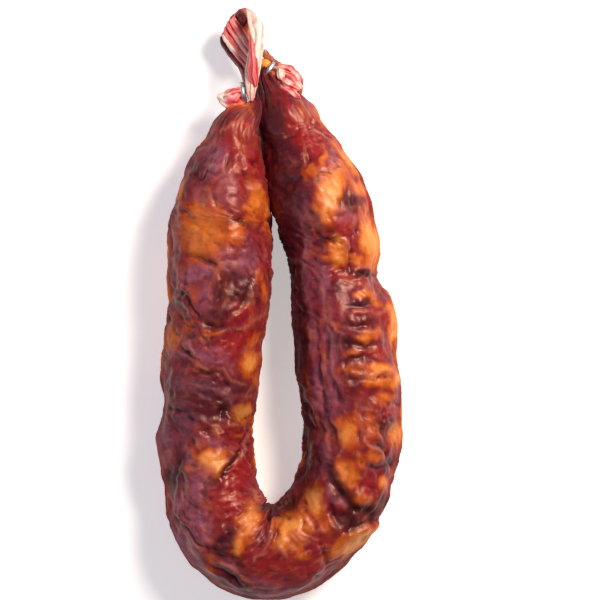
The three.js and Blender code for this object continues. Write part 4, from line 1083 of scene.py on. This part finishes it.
class MeatColours(bpy.types.PropertyGroup):
    """The colours of the meat and fat that show through the casing."""

    lean_purple: colour_setting("Purple lean", "The darkest lean meat", "#3c1026")
    lean_maroon: colour_setting("Maroon lean", "Dark lean meat", "#66182c")
    lean_brick: colour_setting("Brick lean", "Paler lean meat", "#862829")
    lean_rust: colour_setting("Rust lean", "The palest lean meat", "#a84c2c")
    lean_fleck: colour_setting("Lean flecks", "Fine flecks in the lean meat", "#741f2c")
    paprika: colour_setting("Paprika red", "Lean meat that lies close under the casing", "#94161a")
    fat_edge: colour_setting("Fat edge", "Where a piece of fat fades into the lean", "#6c1612")
    fat_rust: colour_setting("Rust fat", "Fat under a thin layer of meat", "#8c2a14")
    fat_burnt: colour_setting("Burnt orange fat", "Fat that has taken much paprika oil", "#a84216")
    fat_orange: colour_setting("Orange fat", "Fat close under the casing", "#c46522")
    fat_pale: colour_setting("Pale fat", "The middle of a thick piece of fat", "#dc8a44")
    # Painted sheen: a mauve reflection laid on the dry, dull casing.
    dry_bloom_and_sheen: colour_setting("Bloom", "Casing that has dried to a dull mauve", "#9c5c72")
    # Partly painted highlight: dry casing along the top of a fold, lightened as if lit.
    dry_crest_and_highlight: colour_setting("Fold crests", "Dry casing along the top of a fold", "#cf8a6c")
    # Partly dark meat in the shrunken places and partly painted shade on the sides that face away from the
    # key light.
    shade: colour_setting("Shade", "Dark meat in the shrunken places", "#28040f")
    # Painted shade in the bottom of the folds.
    crease_shade_colour: colour_setting("Hollows", "The bottom of the folds", "#24040a")
    gloss: colour_setting("Gloss", "Colour that the gut gives to what it mirrors", "#ffd2c4")


class GutColours(bpy.types.PropertyGroup):
    """The colours of the empty dried casing."""

    maroon: colour_setting("Maroon", "Gut soaked with dried juice", "#7a0e16")
    red: colour_setting("Red", "Gut that has taken much paprika", "#b4262e")
    rose: colour_setting("Rose", "Gut that has taken some paprika", "#dc5c5e")
    pink: colour_setting("Pink", "Gut that has taken a little paprika", "#e8928a")
    cream: colour_setting("Cream", "Clean dry gut", "#e8c4b2")
    white: colour_setting("White", "Gut worn along its folds", "#ecdccf")
    amber_dark: colour_setting("Dark amber", "Thin oil on the gut", "#b4492f")
    amber: colour_setting("Amber", "Oil on the gut", "#d87830")
    amber_pale: colour_setting("Pale amber", "Thick oil on the gut", "#f59a48")
    # Painted shade on the inside of the twists, on the loop's outer fold and on the strands' undersides.
    inside: colour_setting("Inside", "The shaded inside of a twist", "#2c060c")
    # Painted shade in the bottom of the pleats.
    crease_shade_colour: colour_setting("Hollows", "The bottom of the pleats", "#5a0c14")


class WireLook(bpy.types.PropertyGroup):
    """The clips' wire."""

    wire_radius: FloatProperty(name="Wire radius", description="Half the thickness of the clip wire",
                               default=WIRE_RADIUS * MM, unit="LENGTH", precision=5)
    grey: colour_setting("Grey", "Smeared and darker wire", "#a4acb8")
    bright: colour_setting("Bright", "Clean wire", "#dde2e8")


def per_metre(size):
    """The scale of a pattern whose features are that many mm wide."""
    return 1.0 / (size * MM)


def add_node(tree, kind, links, output=0, stops=(), **settings):
    """An output of a new node. The node gets its settings, a ramp its stops as places and colours, and each
    input a value or a link from another node's output."""
    made = tree.nodes.new(kind)
    for key, value in settings.items():
        setattr(made, key, value)
    for place, _ in stops[2:]:
        made.color_ramp.elements.new(place)
    for index, (place, colour) in enumerate(stops):
        made.color_ramp.elements[index].position = place
        made.color_ramp.elements[index].color = opaque(colour)
    for key, value in links.items():
        if isinstance(value, bpy.types.NodeSocket):
            tree.links.new(value, made.inputs[key])
        else:
            made.inputs[key].default_value = value
    return made.outputs[output]


def new_material(name):
    """An empty material, a way to add nodes to it, its shader, and its places by object and by sheet."""
    material = bpy.data.materials.new(name)
    material.use_nodes = True
    node = partial(add_node, material.node_tree)
    here = node("ShaderNodeTexCoord", {}, "Object")
    sheet = node("ShaderNodeTexCoord", {}, "UV")
    return material, node, material.node_tree.nodes["Principled BSDF"], here, sheet


def finish_material(material, shader, linked, fixed):
    """Joins the shader's inputs to outputs, and sets those that are the same all over the piece."""
    for key, value in linked.items():
        material.node_tree.links.new(value, shader.inputs[key])
    for key, value in fixed.items():
        shader.inputs[key].default_value = value
    return material


SMOOTH = {"interpolation_type": "SMOOTHSTEP"}
TIMES = {"operation": "MULTIPLY", "use_clamp": True}
PLUS = {"operation": "ADD", "use_clamp": True}
TIMES_PLUS = {"operation": "MULTIPLY_ADD", "use_clamp": True}
OVER = {"output": 2, "data_type": "RGBA"}
GUT_IOR = 1.46


def cured_meat_in_gut(look):
    """Lean pork and fat cured with paprika, seen through a dried natural gut that clings to them. The lean
    is maroon, the fat glows orange through the gut, and the gut is glossy where oil has come through it and
    dull where it has dried, where a painted greyish mauve sheen is laid on it."""
    material, node, shader, here, sheet = new_material("cured_meat_in_dried_gut")
    fat, red, dry_and_sheen, dark_and_shade, dry_crest_and_highlight, cavity, below = (
        node("ShaderNodeAttribute", {}, "Fac", attribute_name=key)
        for key in ("fat", "red", "dry_and_sheen", "dark_and_shade", "ridge", "cavity", "below"))
    lengthways = node("ShaderNodeMapping", {"Vector": sheet, "Scale": (0.35, 1.0, 1.0)})

    # Bundles of muscle 7 mm wide, minced flecks of 1.6 mm, strands of gut 1.5 mm wide that run lengthways,
    # clouds of 3.2 mm in the fat, and smears of oil 4 mm wide.
    grain, flecks, strands, cloud, oil = (
        node("ShaderNodeTexNoise", {"Vector": place, "Scale": per_metre(size), "Detail": detail,
                                    "Roughness": roughness, "Distortion": distortion}, "Fac")
        for place, size, detail, roughness, distortion in (
            (here, 7.0, 4.0, 0.6, 0.6), (here, 1.6, 4.0, 0.65, 0.4), (lengthways, 1.5, 3.0, 0.6, 0.5),
            (here, 3.2, 4.0, 0.6, 0.8), (here, 4.0, 3.0, 0.6, 0.4)))

    # The fat's edge is broken up by its clouds and by the strands.
    clouds = node("ShaderNodeMath", {0: cloud, 1: 0.55, 2: -0.27}, operation="MULTIPLY_ADD")
    cloudy = node("ShaderNodeMath", {0: fat, 1: clouds}, **PLUS)
    veins = node("ShaderNodeMath", {0: strands, 1: 0.16, 2: -0.08}, **TIMES_PLUS)
    cloudy = node("ShaderNodeMath", {0: cloudy, 1: veins}, **PLUS)

    fleck_share, red_share, fat_share, dull_and_sheen_share, crest_share, dark_share, crease_shade = (
        node("ShaderNodeMapRange", {"Value": value, "From Min": low, "From Max": high}, **SMOOTH)
        for value, low, high in (
            (flecks, 0.35, 0.75), (flecks, 0.2, 0.6), (cloudy, 0.02, 0.56), (cloud, 0.25, 0.65),
            (strands, 0.2, 0.6), (cloud, 0.0, 0.35), (cavity, 0.02, 0.4)))

    lean = node("ShaderNodeValToRGB", {"Fac": grain}, "Color", [
        (0.28, look.lean_purple), (0.42, look.lean_maroon), (0.55, look.lean_brick), (0.7, look.lean_rust)])
    lean = node("ShaderNodeMix", {0: fleck_share, 6: lean, 7: opaque(look.lean_fleck)}, **OVER)
    reddened = node("ShaderNodeMath", {0: red, 1: red_share}, **TIMES)
    lean = node("ShaderNodeMix", {0: reddened, 6: lean, 7: opaque(look.paprika)}, **OVER)
    orange = node("ShaderNodeValToRGB", {"Fac": cloudy}, "Color", [
        (0.0, look.fat_edge), (0.3, look.fat_rust), (0.52, look.fat_burnt), (0.78, look.fat_orange),
        (1.0, look.fat_pale)])
    colour = node("ShaderNodeMix", {0: fat_share, 6: lean, 7: orange}, **OVER)
    # Over the meat go the dry casing with its painted mauve sheen, the dry crests with their painted
    # highlight, dark meat with painted shade, and painted shade in the creases.
    for amount, share, strength, above in (
            (dry_and_sheen, dull_and_sheen_share, 0.8, look.dry_bloom_and_sheen), (dry_crest_and_highlight, crest_share, 0.5, look.dry_crest_and_highlight),
            (dark_and_shade, dark_share, 0.85, look.shade), (crease_shade, 1.0, 0.5, look.crease_shade_colour)):
        shown = node("ShaderNodeMath", {0: amount, 1: share}, **TIMES)
        shown = node("ShaderNodeMath", {0: shown, 1: strength}, **TIMES)
        colour = node("ShaderNodeMix", {0: shown, 6: colour, 7: opaque(above)}, **OVER)

    # Oily gut is glossy. Where it is dry, and on the sides, which oil has run off, it is duller.
    roughness = node("ShaderNodeMapRange", {"Value": oil, "From Min": 0.3, "From Max": 0.7, "To Min": 0.27,
                                            "To Max": 0.46})
    dull = node("ShaderNodeMath", {0: dry_and_sheen, 1: dull_and_sheen_share}, **TIMES)
    roughness = node("ShaderNodeMath", {0: dull, 1: 0.15, 2: roughness}, **TIMES_PLUS)
    roughness = node("ShaderNodeMath", {0: below, 1: 0.6, 2: roughness}, **TIMES_PLUS)

    # Wrinkles in the gut, 2.6 mm apart, and the flecks of meat that press through it.
    wrinkles = node("ShaderNodeTexNoise", {
        "Vector": lengthways, "Scale": per_metre(2.6), "Detail": 4.0, "Distortion": 0.8}, "Fac",
        noise_type="RIDGED_MULTIFRACTAL")
    normal = node("ShaderNodeBump", {"Height": wrinkles, "Strength": 0.4, "Distance": 0.2 * MM})
    normal = node("ShaderNodeBump", {
        "Height": flecks, "Strength": 0.5, "Distance": 0.22 * MM, "Normal": normal})

    return finish_material(
        material, shader, {"Base Color": colour, "Roughness": roughness, "Normal": normal}, {
            "IOR": GUT_IOR, "Specular IOR Level": 0.5, "Specular Tint": opaque(look.gloss),
            "Subsurface Weight": 0.25, "Subsurface Radius": (1.0, 0.35, 0.2), "Subsurface Scale": 2.0 * MM})


def dried_natural_gut(look):
    """Natural gut without a filling, dried hard in its pleats. It is cream where a fold stands up and is
    worn, rose red where paprika oil has stayed in the pleats, and painted dark maroon as shade on the inside,
    on the undersides and in the bottom of the pleats."""
    material, node, shader, here, sheet = new_material("dried_natural_gut")
    cream, pleat, amber, dark_and_shade, cavity = (
        node("ShaderNodeAttribute", {}, "Fac", attribute_name=key)
        for key in ("cream", "pleat", "amber", "dark_and_shade", "cavity"))
    lengthways = node("ShaderNodeMapping", {"Vector": sheet, "Scale": (0.2, 1.0, 1.0)})

    # Fibres 0.7 mm wide that run lengthways, and blotches of 2.2 mm.
    fibres, cloud = (
        node("ShaderNodeTexNoise", {"Vector": place, "Scale": per_metre(size), "Detail": 3.0,
                                    "Roughness": 0.6, "Distortion": distortion}, "Fac")
        for place, size, distortion in ((lengthways, 0.7, 0.4), (here, 2.2, 0.5)))
    worn = node("ShaderNodeMath", {0: cloud, 1: 0.6, 2: -0.42}, operation="MULTIPLY_ADD")
    for amount, share in ((cream, 0.68), (pleat, 0.5), (fibres, 0.14)):
        worn = node("ShaderNodeMath", {0: amount, 1: share, 2: worn}, **TIMES_PLUS)
    oiled, crease_shade = (
        node("ShaderNodeMapRange", {"Value": value, "From Min": low, "From Max": high}, **SMOOTH)
        for value, low, high in ((amber, 0.0, 0.5), (cavity, 0.02, 0.3)))

    colour = node("ShaderNodeValToRGB", {"Fac": worn}, "Color", [
        (0.05, look.maroon), (0.28, look.red), (0.46, look.rose), (0.62, look.pink), (0.8, look.cream),
        (1.0, look.white)])
    oil = node("ShaderNodeValToRGB", {"Fac": amber}, "Color", [
        (0.4, look.amber_dark), (0.7, look.amber), (1.0, look.amber_pale)])
    colour = node("ShaderNodeMix", {0: oiled, 6: colour, 7: oil}, **OVER)
    # Painted shade on the dark and shaded parts of the strands and in the bottom of the pleats.
    for amount, strength, above in ((dark_and_shade, 0.9, look.inside), (crease_shade, 0.6, look.crease_shade_colour)):
        shown = node("ShaderNodeMath", {0: amount, 1: strength}, **TIMES)
        colour = node("ShaderNodeMix", {0: shown, 6: colour, 7: opaque(above)}, **OVER)

    normal = node("ShaderNodeBump", {"Height": fibres, "Strength": 0.6, "Distance": 0.15 * MM})
    return finish_material(
        material, shader, {"Base Color": colour, "Normal": normal}, {
            "Roughness": 0.42, "IOR": GUT_IOR, "Subsurface Weight": 0.12,
            "Subsurface Radius": (1.0, 0.4, 0.25), "Subsurface Scale": 0.8 * MM})


def bent_aluminium_wire(look):
    """Soft aluminium wire, drawn and then pressed round the neck: a cool grey metal with fine lengthwise
    lines from drawing and a slightly greasy, uneven shine."""
    material, node, shader, here, sheet = new_material("bent_aluminium_wire")
    lengthways = node("ShaderNodeMapping", {"Vector": sheet, "Scale": (0.08, 1.0, 1.0)})

    # Drawing lines 0.25 mm apart, and greasy smears of 1.8 mm.
    lines, smears = (
        node("ShaderNodeTexNoise", {"Vector": place, "Scale": per_metre(size), "Detail": detail,
                                    "Roughness": 0.6}, "Fac")
        for place, size, detail in ((lengthways, 0.25, 2.0), (here, 1.8, 3.0)))
    colour = node("ShaderNodeValToRGB", {"Fac": smears}, "Color", [(0.3, look.grey), (0.7, look.bright)])
    roughness = node("ShaderNodeMapRange", {"Value": smears, "From Min": 0.3, "From Max": 0.7,
                                            "To Min": 0.36, "To Max": 0.52})
    normal = node("ShaderNodeBump", {"Height": lines, "Strength": 0.35, "Distance": 0.05 * MM})
    return finish_material(
        material, shader, {"Base Color": colour, "Roughness": roughness, "Normal": normal},
        {"Metallic": 1.0})


# ---------------------------------------------------------------------------------------------------------
# The stage

# The view's middle, in metres from the middle of the part's box.
VIEW_OFFSET = (0.0066, 0.0008)
# Where each light stands, and how wide it is, in metres.
KEY_PLACE = (0.33, 0.28, 0.52)
KEY_SIZE = 0.20
FILL_PLACE = (-0.40, -0.05, 0.42)
FILL_SIZE = 0.45


def lamp(name, place, aim, size, power, colour):
    """A square light at a place, turned towards another."""
    light = bpy.data.lights.new(name, "AREA")
    light.size = size
    light.energy = power
    light.color = colour
    holder = bpy.data.objects.new(name, light)
    holder.location = place
    holder.rotation_euler = (Vector(aim) - Vector(place)).to_track_quat("-Z", "Y").to_euler()
    bpy.context.scene.collection.objects.link(holder)


class SausageStage(bpy.types.PropertyGroup):
    """The floor, the lights and the camera."""

    camera_height: FloatProperty(name="Camera height", description="Height of the camera above the floor",
                                 default=0.917, unit="LENGTH")
    view_width: FloatProperty(name="View width", description="Width that the camera takes in at mid height",
                              default=0.200, unit="LENGTH")
    floor_size: FloatProperty(name="Floor", description="Side of the square floor", default=4.0,
                              unit="LENGTH")
    key_power: FloatProperty(name="Key light", description="Power of the main light", default=5.9,
                             unit="POWER")
    fill_power: FloatProperty(name="Fill light", description="Power of the cool light", default=0.75,
                              unit="POWER")
    floor_glow: FloatProperty(name="Floor glow", description="Light that the floor gives off", default=0.42)
    daylight: FloatProperty(name="Daylight", description="Strength of the light from all round",
                            default=0.16)
    card: colour_setting("Floor colour", "The matt card that it lies on", "#f6f6f4")
    key_colour: colour_setting("Key colour", "Colour of the main light", "#fff4e6")
    fill_colour: colour_setting("Fill colour", "Colour of the cool light", "#e6dcff")
    white: colour_setting("White light", "Colour of the floor's glow and the daylight", "#ffffff")


class SausageBody(bpy.types.PropertyGroup):
    """The filled casing's surface."""

    rings: IntProperty(name="Rings", description="Rows of faces along the body", default=548, min=40)
    corners: IntProperty(name="Corners", description="Places round the body", default=171, min=24)
    bulge_height: FloatProperty(name="Bulges", description="How far pieces of meat and fat stand out",
                                default=0.0009, unit="LENGTH", precision=5)
    fold_height: FloatProperty(name="Folds", description="Height of the dried gut's own folds",
                               default=0.00055, unit="LENGTH", precision=5)


class SausageMakeBody(bpy.types.Operator):
    """Makes the filled casing"""

    bl_idname = "sausage.filled_casing"
    bl_label = "Filled casing"

    def execute(self, context):
        look = context.scene.sausage_body
        skin = Skin(look.rings, look.corners)
        places, amounts = body_sheet(skin, look)
        size = (skin.length, 2 * math.pi * float(skin.radius.mean()))
        mesh = rolled_mesh("filled_casing", [(places, amounts, size)])
        material = cured_meat_in_gut(context.scene.sausage_meat)
        add_piece("filled_casing", mesh, material, "sausage_body")
        return {"FINISHED"}


class SausageMakeClips(bpy.types.Operator):
    """Makes the wire clips round both necks"""

    bl_idname = "sausage.clips"
    bl_label = "Clips"

    def execute(self, context):
        look = context.scene.sausage_wire
        material = bent_aluminium_wire(look)
        for node, (middle, axis) in CLIPS.items():
            name = f"wire_{node}"
            mesh = rolled_mesh(name, [clip_sheet(middle, axis, look.wire_radius / MM)])
            add_piece(name, mesh, material, node)
        return {"FINISHED"}


class SausageMakeLoop(bpy.types.Operator):
    """Makes the loop of dried gut that the sausage hangs by"""

    bl_idname = "sausage.hanging_loop"
    bl_label = "Hanging loop"

    def execute(self, context):
        sheets = [
            pleated_sheet(LOOP_RIBBON, pleats=5, depth=0.28, crumple=0.2, seed=110),
            pleated_sheet(LOOP_RED_STRAND, pleats=5, depth=0.34, crumple=0.12, seed=120),
            pleated_sheet(LOOP_TORN_STRIP, pleats=3, depth=0.2, crumple=0.3, seed=130),
            pleated_sheet(LOOP_INSIDE, pleats=4, depth=0.2, crumple=0.2, seed=133),
            pleated_sheet(LOOP_BEAD, pleats=2, depth=0.03, crumple=0.12, seed=139),
        ]
        sheets += [pleated_sheet(fold, pleats=3, depth=0.26, crumple=0.16, seed=200 + 10 * index)
                   for index, fold in enumerate(LOOP_LOBE_FOLDS)]
        material = dried_natural_gut(context.scene.sausage_gut)
        add_piece("twisted_loop", rolled_mesh("twisted_loop", sheets), material, "hanging_loop")
        return {"FINISHED"}


class SausageMakeEnds(bpy.types.Operator):
    """Makes the loose ends of gut beside the clips"""

    bl_idname = "sausage.casing_ends"
    bl_label = "Casing ends"

    def execute(self, context):
        material = dried_natural_gut(context.scene.sausage_gut)
        left = [pleated_sheet(strand, pleats=5, depth=0.32, crumple=0.5, seed=140 + 3 * index)
                for index, strand in enumerate(LEFT_END_STRANDS)]
        right = [pleated_sheet(strand, pleats=4, depth=0.34, crumple=0.4, seed=150 + 10 * index)
                 for index, strand in enumerate(RIGHT_END_STRANDS)]
        for name, sheets, node in (("left_crumpled_end", left, "left_casing_tail"),
                                   ("right_crumpled_end", right, "right_casing_tail")):
            add_piece(name, rolled_mesh(name, sheets), material, node)
        return {"FINISHED"}


class SausageMakeStage(bpy.types.Operator):
    """Makes the floor, the lights and the camera"""

    bl_idname = "sausage.stage"
    bl_label = "Stage"

    def execute(self, context):
        look = context.scene.sausage_stage
        scene = context.scene
        low, high = (Vector(corner) for corner in CAD_BOX)
        middle = (low + high) / 2

        bm = bmesh.new()
        bmesh.ops.create_grid(bm, x_segments=1, y_segments=1, size=look.floor_size / 2)
        mesh = bpy.data.meshes.new("floor")
        bm.to_mesh(mesh)
        bm.free()
        material, _, shader, _, _ = new_material("matt_white_card")
        mesh.materials.append(finish_material(material, shader, {}, {
            "Base Color": opaque(look.card), "Roughness": 0.9, "Emission Color": opaque(look.white),
            "Emission Strength": look.floor_glow}))
        floor = bpy.data.objects.new("floor", mesh)
        scene.collection.objects.link(floor)

        world = bpy.data.worlds.new("studio")
        world.use_nodes = True
        world.node_tree.nodes["Background"].inputs["Color"].default_value = opaque(look.white)
        world.node_tree.nodes["Background"].inputs["Strength"].default_value = look.daylight
        scene.world = world
        lamp("key", KEY_PLACE, middle, KEY_SIZE, look.key_power, look.key_colour)
        lamp("fill", FILL_PLACE, middle, FILL_SIZE, look.fill_power, look.fill_colour)

        camera = bpy.data.cameras.new("camera")
        height = look.camera_height - middle.z
        camera.lens = camera.sensor_width * height / look.view_width
        camera.clip_start = 0.05
        camera.clip_end = 10.0
        holder = bpy.data.objects.new("camera", camera)
        holder.location = (middle.x + VIEW_OFFSET[0], middle.y + VIEW_OFFSET[1], look.camera_height)
        scene.collection.objects.link(holder)
        scene.camera = holder
        scene.view_settings.view_transform = "Standard"
        return {"FINISHED"}


class SausagePanel(bpy.types.Panel):
    """Lists the pieces and their settings"""

    bl_idname = "VIEW3D_PT_sausage"
    bl_label = "Cured sausage"
    bl_space_type = "VIEW_3D"
    bl_region_type = "UI"
    bl_category = "Sausage"

    def draw(self, context):
        for settings, makers in PANEL_ROWS:
            group = getattr(context.scene, settings)
            box = self.layout.box()
            for key in group.__annotations__:
                box.prop(group, key)
            for maker in makers:
                box.operator(maker.bl_idname)


GROUPS = {
    "sausage_body": SausageBody, "sausage_meat": MeatColours, "sausage_gut": GutColours,
    "sausage_wire": WireLook, "sausage_stage": SausageStage,
}
MAKERS = (SausageMakeBody, SausageMakeClips, SausageMakeLoop, SausageMakeEnds, SausageMakeStage)
PANEL_ROWS = (
    ("sausage_body", (SausageMakeBody,)), ("sausage_meat", ()),
    ("sausage_gut", (SausageMakeLoop, SausageMakeEnds)), ("sausage_wire", (SausageMakeClips,)),
    ("sausage_stage", (SausageMakeStage,)),
)


def register():
    for made in (*GROUPS.values(), *MAKERS, SausagePanel):
        bpy.utils.register_class(made)
    for key, group in GROUPS.items():
        setattr(bpy.types.Scene, key, PointerProperty(type=group))


def unregister():
    for key in GROUPS:
        delattr(bpy.types.Scene, key)
    for made in reversed((*GROUPS.values(), *MAKERS, SausagePanel)):
        bpy.utils.unregister_class(made)


def main():
    register()
    bpy.ops.sausage.filled_casing()
    bpy.ops.sausage.clips()
    bpy.ops.sausage.hanging_loop()
    bpy.ops.sausage.casing_ends()
    bpy.ops.sausage.stage()


if __name__ == "__main__":
    main()
